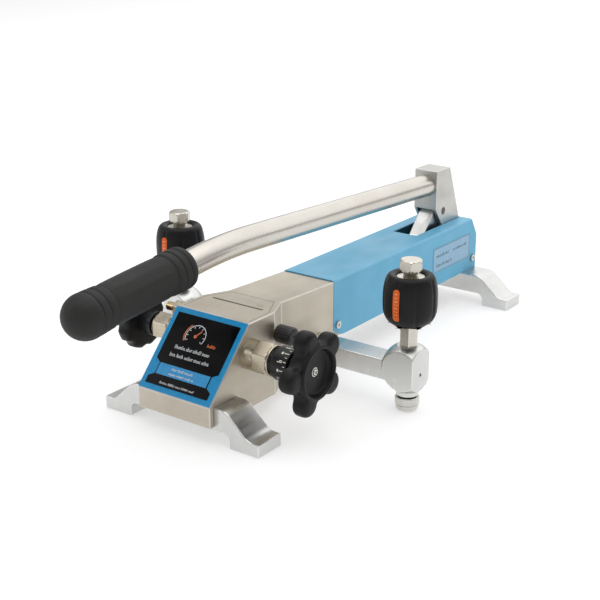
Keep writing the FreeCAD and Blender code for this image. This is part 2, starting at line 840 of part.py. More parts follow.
seal_grooves = (3, 10)
seal_width = 2.2
piston_points = [(0, 0)]
piston_radius = d.bore_radius - d.running_gap
groove_radius = d.bore_radius - 2
for start in seal_grooves:
    if start == seal_grooves[0]:
        piston_points.append((piston_radius, 0))
    piston_points += [(piston_radius, start), (groove_radius, start),
                      (groove_radius, start + seal_width), (piston_radius, start + seal_width)]
piston_points += [(piston_radius, d.piston_length), (0, d.piston_length)]
keep(turned("piston", piston_points), 0, along(d.piston_front), rod_height, axis="Y")
seals = []
for index, start in enumerate(seal_grooves):
    seal = turned(f"piston_seal_{index}", tube_outline(groove_radius, d.bore_radius - d.running_gap / 2,
                                                       start, start + seal_width))
    seals.append(place(seal, 0, along(d.piston_front), rod_height, "Y"))
keep(group("piston_seals", *seals))

crosshead_front = d.tail_place - d.crosshead_length / 2
rod_front = d.piston_front + d.piston_length
keep(rod("piston_rod", d.rod_radius, crosshead_front - rod_front, 0, along(rod_front), rod_height, "Y"))
crosshead_block = box("crosshead_block", (-d.crosshead_half_width, d.crosshead_half_width),
                      (along(crosshead_front), along(crosshead_front + d.crosshead_length)),
                      (rod_height - d.crosshead_half_height, rod_height + d.crosshead_half_height))
slot_half = d.tail_pin_radius + d.slot_side_gap
tail_dip = root((d.tail_place - d.pin_place) * (d.tail_place - d.pin_place)
                + (d.pin_height - tail_height) * (d.pin_height - tail_height))
slot_low = d.pin_height - tail_dip - d.tail_pin_radius - 0.6
slot_high = tail_height + d.tail_pin_radius + 0.6
crosshead_slot = box("crosshead_slot", (-d.crosshead_half_width - 1, d.crosshead_half_width + 1),
                     (along(d.tail_place - slot_half), along(d.tail_place + slot_half)),
                     (slot_low, slot_high))
keep(cut("crosshead", crosshead_block, crosshead_slot))

# ------------------------------------------------- lever head, tube and grip

head_side = [
    (along(d.head_front), d.pin_height + d.head_front_low),
    (along(d.pin_place - 2.4), d.cover_top),
    (along(d.tail_place - d.tail_eye_radius + 0.3), tail_height + 3),
    (along(d.tail_place - d.tail_eye_radius + 3), tail_height),
    (along(d.tail_place + d.tail_eye_radius - 3), tail_height),
    (along(d.tail_place + d.tail_eye_radius - 0.3), tail_height + 3),
    (along(d.head_slot_rear), d.cover_top),
    (along(d.head_top_rear), d.head_top),
    (along(d.head_front), d.head_top),
]
head_casting = slab("head_casting", "YZ_Plane", head_side, 2 * d.head_half_width)
tail_eye = cross_bar("tail_eye", d.tail_eye_radius, d.head_half_width, d.tail_place, tail_height)
gap_low = tail_height - 2 * d.tail_eye_radius
wall_rear = d.head_front + d.head_front_wall
fork_gap = slab("fork_gap", "YZ_Plane", [
    (along(d.head_front - 5), gap_low),
    (along(d.head_slot_rear + 5), gap_low),
    (along(d.head_slot_rear + 5), d.pin_height + d.head_notch_rise),
    (along(wall_rear), d.pin_height + d.head_notch_rise),
    (along(wall_rear), d.pin_height + d.head_front_low),
    (along(d.head_front - 5), d.pin_height + d.head_front_low),
], 2 * d.head_notch_half)
pin_hole = cross_bar("pin_hole", d.pin_radius + d.running_gap, d.head_half_width + 1,
                     d.pin_place, d.pin_height)
tail_hole = cross_bar("tail_hole", d.tail_pin_radius, d.head_half_width + 1, d.tail_place, tail_height)
rise_slope = tangent(d.handle_rise)
tube_rear = d.head_front + d.socket_depth


def handle_height(spot):
    """Centre height of the handle behind its bend."""
    return d.bend_height - (spot - d.bend_place) * rise_slope


socket = rod("socket", d.tube_radius, d.socket_depth + 20, 0, along(tube_rear), handle_height(tube_rear))
socket.Placement.Rotation = FreeCAD.Rotation(V(1, 0, 0), 90 - SIZES["handle_rise"])
bind(socket, "Placement.Rotation.Angle", 90 - d.handle_rise)
keep(cut("lever_head", fuse("head_blank", head_casting, tail_eye), fork_gap, pin_hole, tail_hole, socket))
keep(cross_bar("tail_pin", d.tail_pin_radius, d.head_half_width, d.tail_place, tail_height))

turn = d.handle_rise + d.handle_droop
bend_reach = d.bend_radius * tangent(turn / 2)
dome_place = d.grip_end_radius - d.grip_reach


def front_height(spot):
    """Centre height of the handle ahead of its bend."""
    return d.bend_height - (d.bend_place - spot) * tangent(d.handle_droop)


tube_front = dome_place + d.grip_cushion
handle_path = [
    (along(tube_rear), handle_height(tube_rear)),
    (along(d.bend_place + bend_reach * cosine(d.handle_rise)),
     d.bend_height - bend_reach * sine(d.handle_rise)),
    (along(d.bend_place - bend_reach * cosine(d.handle_droop)),
     d.bend_height - bend_reach * sine(d.handle_droop)),
    (along(tube_front), front_height(tube_front)),
]


def handle_pipe(label, radius, inner):
    """A round tube swept along the handle: straight, gently bent, straight."""
    owner = body(label)
    path = owner.newObject("Sketcher::SketchObject", f"{label}_path")
    path.AttachmentSupport = [(plane_of(owner, "YZ_Plane"), "")]
    path.MapMode = "FlatFace"
    spots = [V(p[0].value, p[1].value, 0) for p in handle_path]
    centre = arc_through(spots[1], spots[2], d.bend_radius.value)
    angles = [math.atan2(p.y - centre.y, p.x - centre.x) for p in spots[1:3]]
    path.addGeometry(Part.LineSegment(spots[0], spots[1]), False)
    circle = Part.Circle(centre, V(0, 0, 1), d.bend_radius.value)
    path.addGeometry(Part.ArcOfCircle(circle, angles[0], angles[1]), False)
    path.addGeometry(Part.LineSegment(spots[2], spots[3]), False)
    path.addConstraint(Sketcher.Constraint("Coincident", 0, 2, 1, 1))
    path.addConstraint(Sketcher.Constraint("Coincident", 1, 2, 2, 1))
    for (line, end), point in zip(((0, 1), (0, 2), (2, 1), (2, 2)), handle_path):
        for kind, size in zip(("DistanceX", "DistanceY"), point):
            spot = path.addConstraint(Sketcher.Constraint(kind, -1, 1, line, end, size.value))
            bind(path, f"Constraints[{spot}]", size)
    spot = path.addConstraint(Sketcher.Constraint("Radius", 1, d.bend_radius.value))
    bind(path, f"Constraints[{spot}]", d.bend_radius)
    ring = owner.newObject("Sketcher::SketchObject", f"{label}_ring")
    ring.AttachmentSupport = [(path, "Vertex1"), (path, "Edge1")]
    ring.MapMode = "NormalToEdge"
    for index, size in enumerate((radius, inner)):
        ring.addGeometry(Part.Circle(V(), V(0, 0, 1), size.value), False)
        ring.addConstraint(Sketcher.Constraint("Coincident", index, 3, -1, 1))
        spot = ring.addConstraint(Sketcher.Constraint("Radius", index, size.value))
        bind(ring, f"Constraints[{spot}]", size)
    doc.recompute()
    pipe = owner.newObject("PartDesign::AdditivePipe", "Pipe")
    pipe.Profile = ring
    pipe.Spine = (path, ["Edge1", "Edge2", "Edge3"])
    pipe.Mode = 0
    return owner


keep(handle_pipe("handle_tube", d.tube_radius, d.tube_radius - d.tube_wall))

dome_start = d.grip_length - d.grip_end_radius
grip_bore = dome_start - d.grip_cushion / cosine(d.handle_droop)
ring_width = 6
grip_points = [
    (d.tube_radius, 0), (d.grip_radius, 0),
    (d.grip_end_radius - 0.4, 1.5), (d.grip_end_radius - 0.4, ring_width),
    (d.grip_radius - 0.9, ring_width + 0.8), (d.grip_radius - 0.9, ring_width + 2),
    (d.grip_end_radius - 0.6, ring_width + 2.8), (d.grip_end_radius - 0.6, 2 * ring_width + 2.8),
    (d.grip_radius, 2 * ring_width + 4.5), (d.grip_radius, dome_start - 17),
    (d.grip_radius - 1.1, dome_start - 16.2), (d.grip_radius - 1.1, dome_start - 15),
    (d.grip_end_radius - 0.4, dome_start - 13.5), (d.grip_end_radius, dome_start, d.grip_end_radius),
    (0, d.grip_length), (0, grip_bore), (d.tube_radius, grip_bore),
]
grip = turned("grip", grip_points)
grip_rear = dome_place + dome_start * cosine(d.handle_droop)
place(grip, 0, along(grip_rear), front_height(grip_rear))
grip.Placement.Rotation = FreeCAD.Rotation(V(1, 0, 0), 90 + SIZES["handle_droop"])
bind(grip, "Placement.Rotation.Angle", 90 + d.handle_droop)
keep(grip)

# ---------------------------------------- side arms, end blocks, test ports

def common(label, base, tool):
    item = doc.addObject("Part::Common", label)
    item.Base = base
    item.Tool = tool
    return item


def port_rod(label, sign, radius, low, high):
    """A round bar on a test port's upright axis."""
    return rod(label, radius, as_size(high) - low, sign * d.port_x, along(d.port_place), low)


def at_port(item, sign):
    return place(item, sign * d.port_x, along(d.port_place), 0)


def ball_width(height):
    """Radius of the end block's ball at a height."""
    rise = height - d.end_ball_height
    return root(d.end_ball_radius * d.end_ball_radius - rise * rise)


def mirrored_span(sign, near, far):
    """The X range from near to far on the piece's own side."""
    return (near, far) if sign > 0 else (-far, -near)


boss_top = d.end_ball_height - root(d.end_ball_radius * d.end_ball_radius
                                    - d.drain_boss_radius * d.drain_boss_radius)
arm_middle = along(d.arm_front + d.arm_depth / 2)
arm_height = (d.arm_bottom + d.arm_top) / 2
seal_low = d.collar_bottom - 6
seal_height = 1.8
port_seals = []
drain_seals = []
for side, sign in SIDES:
    outward = "X" if sign > 0 else "-X"

    # ball-shaped block, turned, then milled flat in front, behind and outside
    turning = at_port(turned(f"{side}_end_turning", [
        (0, d.drain_boss_bottom), (d.drain_boss_radius, d.drain_boss_bottom),
        (d.drain_boss_radius, boss_top, d.end_ball_radius),
        (ball_width(d.end_top), d.end_top), (0, d.end_top)]), sign)
    wide = 2 * d.end_ball_radius
    whole_x = (sign * d.port_x - wide, sign * d.port_x + wide)
    flat_front = d.port_place - d.end_half_depth
    flat_rear = d.port_place + d.end_half_depth
    milled = [
        box(f"{side}_front_waste", whole_x, (along(flat_front - wide), along(flat_front)), (0, 2 * wide)),
        box(f"{side}_rear_waste", whole_x, (along(flat_rear), along(flat_rear + wide)), (0, 2 * wide)),
        box(f"{side}_facet_waste", mirrored_span(sign, d.port_x + d.end_facet, d.port_x + wide),
            (along(flat_front - wide), along(flat_rear + wide)), (0, 2 * wide)),
    ]
    bore = port_rod(f"{side}_end_bore", sign, 4, d.drain_boss_bottom - 1, d.end_top + 1)
    grub_depth = 4
    grub = rod(f"{side}_grub_hole", 1.5, grub_depth + 1, sign * (d.port_x + d.end_facet - grub_depth),
               along(d.port_place), d.end_ball_height - 4, outward)
    end_block = keep(cut(f"{side}_end_block", turning, *milled, bore, grub))

    arm_end = d.port_x - d.end_ball_radius / 2
    arm_block = box(f"{side}_arm_block", mirrored_span(sign, d.cover_half_width, arm_end),
                    (along(d.arm_front), along(d.arm_front + d.arm_depth)), (d.arm_bottom, d.arm_top))
    drilling = rod(f"{side}_arm_drilling", 2.5, d.port_x, sign * (d.cover_half_width - 1), arm_middle,
                   arm_height, outward)
    keep(cut(f"{side}_arm", arm_block, drilling, end_block))

    # hexagonal stem with a round shaft and a collar that the sleeve turns on
    stem_hex = hexagon(f"{side}_stem_hex", d.stem_across_flats, d.stem_hex_top - d.end_top,
                       sign * d.port_x, along(d.port_place), d.end_top)
    shaft = port_rod(f"{side}_stem_shaft", sign, d.stem_radius, d.end_top, d.collar_bottom + 1)
    spigot = port_rod(f"{side}_stem_spigot", sign, 4, d.end_top - 12, d.end_top + 1)
    collar = port_rod(f"{side}_stem_collar", sign, d.collar_radius, d.collar_bottom, d.collar_top)
    through = port_rod(f"{side}_stem_bore", sign, 2, d.end_top - 13, d.collar_top + 1)
    socket_bore = port_rod(f"{side}_stem_socket", sign, d.plug_thread_radius, seal_low, d.collar_top + 1)
    keep(cut(f"{side}_port_stem", fuse(f"{side}_stem_blank", stem_hex, shaft, spigot, collar),
             through, socket_bore))

    seal = turned(f"{side}_port_seal",
                  tube_outline(3, d.plug_thread_radius, seal_low, seal_low + seal_height))
    port_seals.append(at_port(seal, sign))

    # blanking plug: bevelled hexagon, washer face and threaded neck
    plug_height = d.plug_top - d.plug_seat
    bevel_radius = d.plug_across_flats / 2 + 0.4
    plug_head = hexagon(f"{side}_plug_head", d.plug_across_flats, plug_height,
                        sign * d.port_x, along(d.port_place), d.plug_seat)
    bevel = turned(f"{side}_plug_bevel", [
        (0, d.plug_seat), (bevel_radius, d.plug_seat),
        (bevel_radius + plug_height / 2, d.plug_seat + plug_height / 2),
        (bevel_radius, d.plug_top), (0, d.plug_top)])
    neck = port_rod(f"{side}_plug_neck", sign, d.plug_thread_radius, seal_low + seal_height, d.plug_seat)
    keep(fuse(f"{side}_port_plug", common(f"{side}_bevelled_head", plug_head, at_port(bevel, sign)), neck))

    # knurled sleeve, with a pocket in its front for a coloured insert
    shaft_bore = d.stem_radius + d.running_gap
    collar_bore = d.collar_radius + d.running_gap
    mouth_radius = d.stem_across_flats / 2 + 1.6
    sleeve = turned(f"{side}_sleeve_turning", [
        (mouth_radius, d.sleeve_bottom), (d.sleeve_foot_radius, d.sleeve_bottom),
        (d.sleeve_radius - 2, d.sleeve_belt_low - 5), (d.sleeve_radius, d.sleeve_belt_low),
        (d.sleeve_radius, d.sleeve_belt_high), (d.sleeve_crown_radius, d.sleeve_top - 2.5),
        (d.sleeve_crown_radius - 2, d.sleeve_top), (collar_bore, d.sleeve_top),
        (collar_bore, d.collar_bottom - 0.3), (shaft_bore, d.collar_bottom - 0.3),
        (shaft_bore, d.sleeve_bottom + 3), (mouth_radius, d.sleeve_bottom + 3),
    ])
    window_floor = d.sleeve_radius - d.window_depth
    window_x = (sign * d.port_x - d.window_width / 2, sign * d.port_x + d.window_width / 2)
    window_z = (d.window_bottom, d.window_top)
    window_back = along(d.port_place - window_floor)
    pocket = box(f"{side}_window_pocket", window_x,
                 (along(d.port_place - d.sleeve_radius - 1), window_back), window_z)
    keep(cut(f"{side}_port_sleeve", at_port(sleeve, sign), pocket))
    insert_face = window_floor + d.window_depth / 2
    keep(box(f"{side}_sleeve_window", window_x, (along(d.port_place - insert_face), window_back), window_z))

    # drain cap under the end block, with its seal
    ring_height = 1.2
    cap_top = d.drain_boss_bottom - ring_height
    cap = turned(f"{side}_drain_cap", [
        (0, d.drain_cap_bottom), (d.drain_cap_rim - 0.8, d.drain_cap_bottom),
        (d.drain_cap_rim, d.drain_cap_bottom + 0.8), (d.drain_cap_rim, d.drain_cap_bottom + 4),
        (d.drain_cap_radius, d.drain_cap_bottom + 4.7), (d.drain_cap_radius, cap_top - 0.7),
        (d.drain_cap_radius - 0.7, cap_top), (0, cap_top)])
    keep(at_port(cap, sign))
    seal = turned(f"{side}_drain_seal", tube_outline(4.5, d.drain_boss_radius - 1.5, cap_top + 0.05,
                                                     d.drain_boss_bottom))
    drain_seals.append(at_port(seal, sign))
keep(group("port_seals", *port_seals))
keep(group("drain_seals", *drain_seals))

# ----------------------------------------------------------- shut-off valves

spindle_start = d.block_half_width - 4
spindle_bore = d.spindle_radius + d.running_gap
edge_break = 0.6
ring_gap = 0.5
screw_radius = 2.5
screw_head = 2
screw_thread = 3


def scooped(owner, outline, kind, thickness, count, hub_axis):
    """Repeat one raised or sunk round about the knob's middle."""
    feature = raise_from(owner, kind, outline, thickness, both_ways=False)
    feature.Reversed = kind == "Pocket"
    pattern = owner.newObject("PartDesign::PolarPattern", f"{outline.Label}_ring")
    pattern.Originals = [feature]
    pattern.Axis = (hub_axis, ["N_Axis"])
    pattern.Angle = 360
    pattern.Occurrences = count
    owner.Tip = pattern


def star_knob(label, thickness, hub_radius, hub_length):
    """Five round lobes with scooped valleys and a hub behind."""
    owner = body(label)
    lobe_turn = 72
    lobe_share = d.lobe_radius / (d.lobe_radius + d.valley_radius)
    valley_x = d.valley_circle * cosine(lobe_turn / 2)
    valley_y = d.valley_circle * sine(lobe_turn / 2)
    foot_x = d.lobe_circle + (valley_x - d.lobe_circle) * lobe_share
    foot_y = valley_y * lobe_share
    disc = circle_sketch(owner, "XY_Plane", root(foot_x * foot_x + foot_y * foot_y), label="disc")
    lobe = circle_sketch(owner, "XY_Plane", d.lobe_radius, d.lobe_circle, label="lobe")
    valley = circle_sketch(owner, "XY_Plane", d.valley_radius, valley_x, valley_y, label="valley")
    for outline in (disc, lobe, valley):
        bind(outline, "AttachmentOffset.Base.z", hub_length)
    raise_from(owner, "Pad", disc, thickness, both_ways=False)
    scooped(owner, lobe, "Pad", thickness, 5, disc)
    scooped(owner, valley, "Pocket", thickness, 5, disc)
    hub = circle_sketch(owner, "XY_Plane", hub_radius, label="hub")
    raise_from(owner, "Pad", hub, hub_length, both_ways=False)
    return owner


def round_knob(label, thickness, hub_radius, hub_length):
    """A round knob with eight shallow scoops in its rim and a hub behind."""
    owner = body(label)
    disc = circle_sketch(owner, "XY_Plane", d.round_knob_radius, label="disc")
    scoop_circle = d.round_knob_radius + d.scoop_radius - d.scoop_depth
    scoop = circle_sketch(owner, "XY_Plane", d.scoop_radius, scoop_circle, label="scoop")
    for outline in (disc, scoop):
        bind(outline, "AttachmentOffset.Base.z", hub_length)
    raise_from(owner, "Pad", disc, thickness, both_ways=False)
    scooped(owner, scoop, "Pocket", thickness, 8, disc)
    hub = circle_sketch(owner, "XY_Plane", hub_radius, label="hub")
    raise_from(owner, "Pad", hub, hub_length, both_ways=False)
    return owner


for side, sign, shape, shaped, turn in (
    ("right", 1, "star", star_knob, d.star_turn), ("left", -1, "round", round_knob, 0),
):
    def own(part):
        """This side's own size of a valve part."""
        return getattr(d, f"{side}_{part}")

    def at_valve(item, start=0):
        """Stand a piece on the valve's axis; its own Z points outwards."""
        return place(item, sign * start, along(d.valve_place), d.valve_height + own("rise"),
                     "X" if sign > 0 else "-X")

    boss_end = d.block_half_width + own("boss_length")
    hex_end = boss_end + own("hex_length")
    flange_end = hex_end + own("flange_length")
    gland_end = flange_end + own("gland_length")
    index_start = gland_end - own("index_cup") + ring_gap
    index_end = index_start + own("index_length")
    hub_end = index_end + own("hub_length")
    knob_end = hub_end + own("knob_thickness")
    dish_floor = knob_end - own("dish_depth")
    spindle_end = dish_floor - screw_thread

    thread_end = d.block_half_width - d.valve_thread_depth
    boss = at_valve(turned(f"{side}_valve_turning", [
        (0, thread_end), (d.valve_thread_radius, thread_end),
        (d.valve_thread_radius, d.block_half_width),
        (own("boss_radius"), d.block_half_width), (own("boss_radius"), boss_end),
        (0, boss_end)]))
    nut = at_valve(hexagon(f"{side}_valve_hex", own("across_flats"), own("hex_length")), boss_end)
    flange = at_valve(rod(f"{side}_valve_flange", own("flange_radius"), own("flange_length")), hex_end)
    deep_bore = rod(f"{side}_valve_bore", spindle_bore, flange_end - spindle_start + 1)
    port_bore = rod(f"{side}_valve_port", 2, d.valve_thread_depth + 1)
    keep(cut(f"{side}_valve_body", fuse(f"{side}_valve_blank", boss, nut, flange),
             at_valve(deep_bore, spindle_start), at_valve(port_bore, thread_end - 1)))

    gland = turned(f"{side}_valve_gland", [
        (spindle_bore, flange_end), (own("gland_radius"), flange_end),
        (own("gland_radius"), gland_end), (spindle_bore, gland_end)])
    keep(at_valve(gland))
    keep(at_valve(turned(f"{side}_valve_spindle", [
        (0, spindle_start + 1), (d.spindle_radius, spindle_start + 1),
        (d.spindle_radius, spindle_end), (0, spindle_end)])))
    cup_radius = own("gland_radius") + edge_break
    rim_radius = own("index_radius")
    keep(at_valve(turned(f"{side}_index_ring", [
        (cup_radius, index_start), (rim_radius - edge_break, index_start),
        (rim_radius, index_start + edge_break), (rim_radius, index_end - edge_break),
        (rim_radius - edge_break, index_end), (d.spindle_radius, index_end),
        (d.spindle_radius, gland_end + ring_gap), (cup_radius, gland_end + ring_gap)])))

    blank = at_valve(shaped(f"{side}_knob_blank", own("knob_thickness"), own("hub_radius"),
                            own("hub_length")), index_end)
    knob_turn = FreeCAD.Rotation(V(0, 0, 1), as_size(turn).value)
    blank.Placement.Rotation = blank.Placement.Rotation.multiply(knob_turn)
    dish = at_valve(turned(f"{side}_knob_dish", [
        (0, dish_floor), (own("dish_radius") - d.dish_flare, dish_floor),
        (own("dish_radius"), knob_end), (own("dish_radius"), knob_end + 1), (0, knob_end + 1)]))
    well = at_valve(rod(f"{side}_knob_well", d.spindle_radius, spindle_end - index_end), index_end)
    screw_bore = rod(f"{side}_knob_screw_bore", screw_radius, 2 * own("knob_thickness"))
    keep(cut(f"{side}_{shape}_knob", blank, dish, well, at_valve(screw_bore, hub_end)))
    keep(at_valve(turned(f"{side}_knob_screw", [
        (0, spindle_end), (screw_radius, spindle_end), (screw_radius, dish_floor),
        (4.2, dish_floor), (4.2, dish_floor + 1.2), (3.2, dish_floor + screw_head),
        (0, dish_floor + screw_head)])))

# --------------------------------------------- small knob and relief fitting

vent_start = d.block_half_width - 1 + d.vent_stand_off
vent_stem = 2.45
vent_depth = 8
block_bores.append(rod("vent_bore", vent_stem + d.running_gap, vent_depth + 2,
                       d.block_half_width - vent_depth - 1, along(d.vent_place), d.vent_height, "X"))
keep(place(turned("vent_knob", [
    (1.5, vent_start), (d.vent_knob_radius - 0.8, vent_start),
    (d.vent_knob_radius, vent_start + 0.8), (d.vent_knob_radius, vent_start + d.vent_knob_length - 0.8),
    (d.vent_knob_radius - 0.8, vent_start + d.vent_knob_length),
    (1.5, vent_start + d.vent_knob_length)]), 0, along(d.vent_place), d.vent_height, "X"))
keep(place(turned("vent_spindle", [
    (0, d.block_half_width - vent_depth), (vent_stem, d.block_half_width - vent_depth),
    (vent_stem, vent_start),
    (1.5, vent_start), (1.5, vent_start + d.vent_knob_length), (0, vent_start + d.vent_knob_length)]),
    0, along(d.vent_place), d.vent_height, "X"))
relief_hex = hexagon("relief_hex", d.relief_across_flats, d.relief_length, -d.block_half_width,
                     along(d.relief_place), d.relief_height, "-X")
relief_thread = 6
relief_neck = rod("relief_neck", d.relief_tip_radius + 1, d.relief_length + relief_thread,
                  relief_thread - d.block_half_width, along(d.relief_place), d.relief_height, "-X")
block_bores.append(rod("relief_tapping", d.relief_tip_radius + 1, relief_thread + 1,
                       relief_thread - d.block_half_width, along(d.relief_place), d.relief_height, "-X"))
keep(fuse("relief_body", relief_hex, relief_neck))
keep(rod("relief_screw", d.relief_tip_radius, d.relief_tip_length, -d.block_half_width - d.relief_length,
         along(d.relief_place), d.relief_height, "-X"))

# the block is bored last, for all that screws into it or runs through it
keep(cut("manifold_block", bored_billet, *block_bores))

# ----------------------------------------------------------------- write out

doc.recompute()
failed = [item.Name for item in doc.Objects if "Invalid" in item.State or "Error" in item.State]
if failed:
    raise RuntimeError(f"failed features: {', '.join(failed)}")
for label, item in pieces.items():
    if item.Shape.isNull() or not item.Shape.isValid() or not item.Shape.Solids:
        raise RuntimeError(f"{label} has no valid solid")
os.makedirs("parts", exist_ok=True)
for label, item in pieces.items():
    item.Shape.exportStep(f"parts/{label}.step")
print(f"{len(pieces)} pieces written")
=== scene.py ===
"""Looks of the bench hand pump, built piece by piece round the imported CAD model."""
import math
import random

import bmesh
import bpy
from mathutils import Matrix, Vector


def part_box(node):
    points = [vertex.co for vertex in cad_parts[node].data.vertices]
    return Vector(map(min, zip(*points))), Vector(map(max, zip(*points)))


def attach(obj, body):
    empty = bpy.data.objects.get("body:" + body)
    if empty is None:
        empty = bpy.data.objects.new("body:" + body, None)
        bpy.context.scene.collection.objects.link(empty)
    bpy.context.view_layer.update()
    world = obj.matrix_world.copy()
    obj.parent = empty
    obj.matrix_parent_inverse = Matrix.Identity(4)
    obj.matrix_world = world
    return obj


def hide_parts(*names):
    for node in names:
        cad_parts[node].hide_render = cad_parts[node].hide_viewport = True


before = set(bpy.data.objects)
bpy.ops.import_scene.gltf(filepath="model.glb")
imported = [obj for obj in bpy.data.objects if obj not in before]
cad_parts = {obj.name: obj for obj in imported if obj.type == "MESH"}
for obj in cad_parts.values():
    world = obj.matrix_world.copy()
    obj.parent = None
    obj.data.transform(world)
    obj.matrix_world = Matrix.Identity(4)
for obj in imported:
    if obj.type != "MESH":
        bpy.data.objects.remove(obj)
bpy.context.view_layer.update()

# ---------------------------------------------------------------------- feet
# Two bridge-shaped feet in cast aluminium, one under each end of the pump.
# The faces are milled, the whole casting is tumbled satin, and each foot is
# held to what stands on it by two screws from below.

mm = 0.001
foot_dark = (0.60, 0.60, 0.585)
foot_pale = (0.68, 0.68, 0.665)
foot_edge = 1.1


def new_finish(name, metal):
    """An empty surface finish; metal is 1 for bare or plated metal, else 0."""
    finish = bpy.data.materials.new(name)
    finish.use_nodes = True
    finish.node_tree.nodes["Principled BSDF"].inputs["Metallic"].default_value = metal
    return finish


def shader_of(finish):
    return finish.node_tree.nodes["Principled BSDF"]


def wire(finish, source, target):
    finish.node_tree.links.new(source, target)


def speckle(finish, size, detail=3, stretch=(1, 1, 1)):
    """Cloudy noise of about that grain size, longer along an axis by stretch."""
    nodes = finish.node_tree.nodes
    spot = nodes.new("ShaderNodeTexCoord")
    ruler = nodes.new("ShaderNodeMapping")
    noise = nodes.new("ShaderNodeTexNoise")
    ruler.inputs["Scale"].default_value = [1 / (size * longer) for longer in stretch]
    noise.inputs["Scale"].default_value = 1
    noise.inputs["Detail"].default_value = detail
    wire(finish, spot.outputs["Object"], ruler.inputs["Vector"])
    wire(finish, ruler.outputs["Vector"], noise.inputs["Vector"])
    return noise.outputs["Fac"]


def tone(finish, share, dark, pale, low=0.35, high=0.65):
    """Colour running from dark to pale as the share rises."""
    ramp = finish.node_tree.nodes.new("ShaderNodeValToRGB")
    ramp.color_ramp.elements[0].position = low
    ramp.color_ramp.elements[1].position = high
    ramp.color_ramp.elements[0].color = (*dark, 1)
    ramp.color_ramp.elements[1].color = (*pale, 1)
    wire(finish, share, ramp.inputs["Fac"])
    wire(finish, ramp.outputs["Color"], shader_of(finish).inputs["Base Color"])


def gloss(finish, share, smooth, rough, low=0.35, high=0.65):
    """Roughness running from smooth to rough as the share rises."""
    spread = finish.node_tree.nodes.new("ShaderNodeMapRange")
    spread.inputs["From Min"].default_value = low
    spread.inputs["From Max"].default_value = high
    spread.inputs["To Min"].default_value = smooth
    spread.inputs["To Max"].default_value = rough
    wire(finish, share, spread.inputs["Value"])
    wire(finish, spread.outputs["Result"], shader_of(finish).inputs["Roughness"])


def relief(finish, *layers):
    """Surface height from (share, depth) layers, laid one over the other."""
    under = None
    for share, depth in layers:
        bump = finish.node_tree.nodes.new("ShaderNodeBump")
        bump.inputs["Distance"].default_value = depth
        wire(finish, share, bump.inputs["Height"])
        if under:
            wire(finish, under, bump.inputs["Normal"])
        under = bump.outputs["Normal"]
    wire(finish, under, shader_of(finish).inputs["Normal"])


def dull(finish, level):
    """Hold down the mirror share of a non-metal's surface."""
    shader_of(finish).inputs["Specular IOR Level"].default_value = level
    return finish


def blended(finish, first, second, share):
    """Two noises mixed into one."""
    mix = finish.node_tree.nodes.new("ShaderNodeMix")
    mix.inputs["Factor"].default_value = share
    wire(finish, first, mix.inputs["A"])
    wire(finish, second, mix.inputs["B"])
    return mix.outputs["Result"]


def worked_metal(name, dark, pale, smooth, rough, grain, depth, stretch=(1, 1, 1)):
    """Metal with a clouded tone, a fine worked grain and faint handling scuffs."""
    finish = new_finish(name, 1.0)
    cloud = speckle(finish, 38 * mm, 3)
    fine = speckle(finish, grain, 3, stretch)
    scuff = speckle(finish, 7 * mm, 5, (1, 4, 1.5))
    tone(finish, blended(finish, cloud, fine, 0.4), dark, pale)
    gloss(finish, blended(finish, scuff, fine, 0.3), smooth, rough)
    relief(finish, (cloud, 0.006 * mm), (fine, depth))
    return finish


def rubbed_and_highlit(finish, lift, polish):
    """The same finish for the bevelled edges: smoother where handling rubs them, and paler, partly rubbed
    wear and partly a painted edge highlight.
    """
    edge = finish.copy()
    edge.name = f"{finish.name}_edge"
    for node in edge.node_tree.nodes:
        if node.type == "VALTORGB":
            for stop in node.color_ramp.elements:
                # colour lifted towards white on the edges: a painted edge highlight, with some rubbed wear
                stop.color = [c + (1 - c) * lift for c in stop.color[:3]] + [1]
        if node.type == "MAP_RANGE":
            node.inputs["To Min"].default_value *= polish
            node.inputs["To Max"].default_value *= polish
    return edge


def piece_of(name, shape, finishes, sharp=32):
    """Turn a bmesh into a shown piece with smooth faces and crisp sharp edges."""
    bmesh.ops.recalc_face_normals(shape, faces=shape.faces[:])
    mesh = bpy.data.meshes.new(name)
    shape.to_mesh(mesh)
    shape.free()
    stale = mesh.attributes.get("custom_normal")
    if stale:
        mesh.attributes.remove(stale)
    mesh.polygons.foreach_set("use_smooth", [True] * len(mesh.polygons))
    mesh.set_sharp_from_angle(angle=math.radians(sharp))
    for finish in finishes:
        mesh.materials.append(finish)
    piece = bpy.data.objects.new(name, mesh)
    bpy.context.scene.collection.objects.link(piece)
    even = piece.modifiers.new("even_shading", "WEIGHTED_NORMAL")
    even.keep_sharp = True
    return piece


def every_edge(edge):
    return True


def ease(shape, picked, inset, steps, material, least=27):
    """Round off the picked hard edges of a bmesh, in millimetres."""
    shape.normal_update()
    hard = [
        edge
        for edge in shape.edges
        if edge.is_manifold and edge.calc_face_angle() > math.radians(least) and picked(edge)
    ]
    bmesh.ops.bevel(
        shape, geom=hard, offset=inset * mm, segments=steps, profile=0.5, affect="EDGES",
        clamp_overlap=False, material=material,
    )


def eased(node, finishes, *passes):
    """A CAD piece's shape as a bmesh piece, its hard edges eased.

    Each pass is (which edges, how far in, how many steps).
    """
    shape = bmesh.new()
    shape.from_mesh(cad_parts[node].data)
    bmesh.ops.remove_doubles(shape, verts=shape.verts[:], dist=0.002 * mm)
    bmesh.ops.dissolve_limit(
        shape, angle_limit=math.radians(0.4), verts=shape.verts[:], edges=shape.edges[:]
    )
    for picked, inset, steps in passes:
        ease(shape, picked, inset, steps, len(finishes) - 1)
    return piece_of(f"{node}_made", shape, finishes)


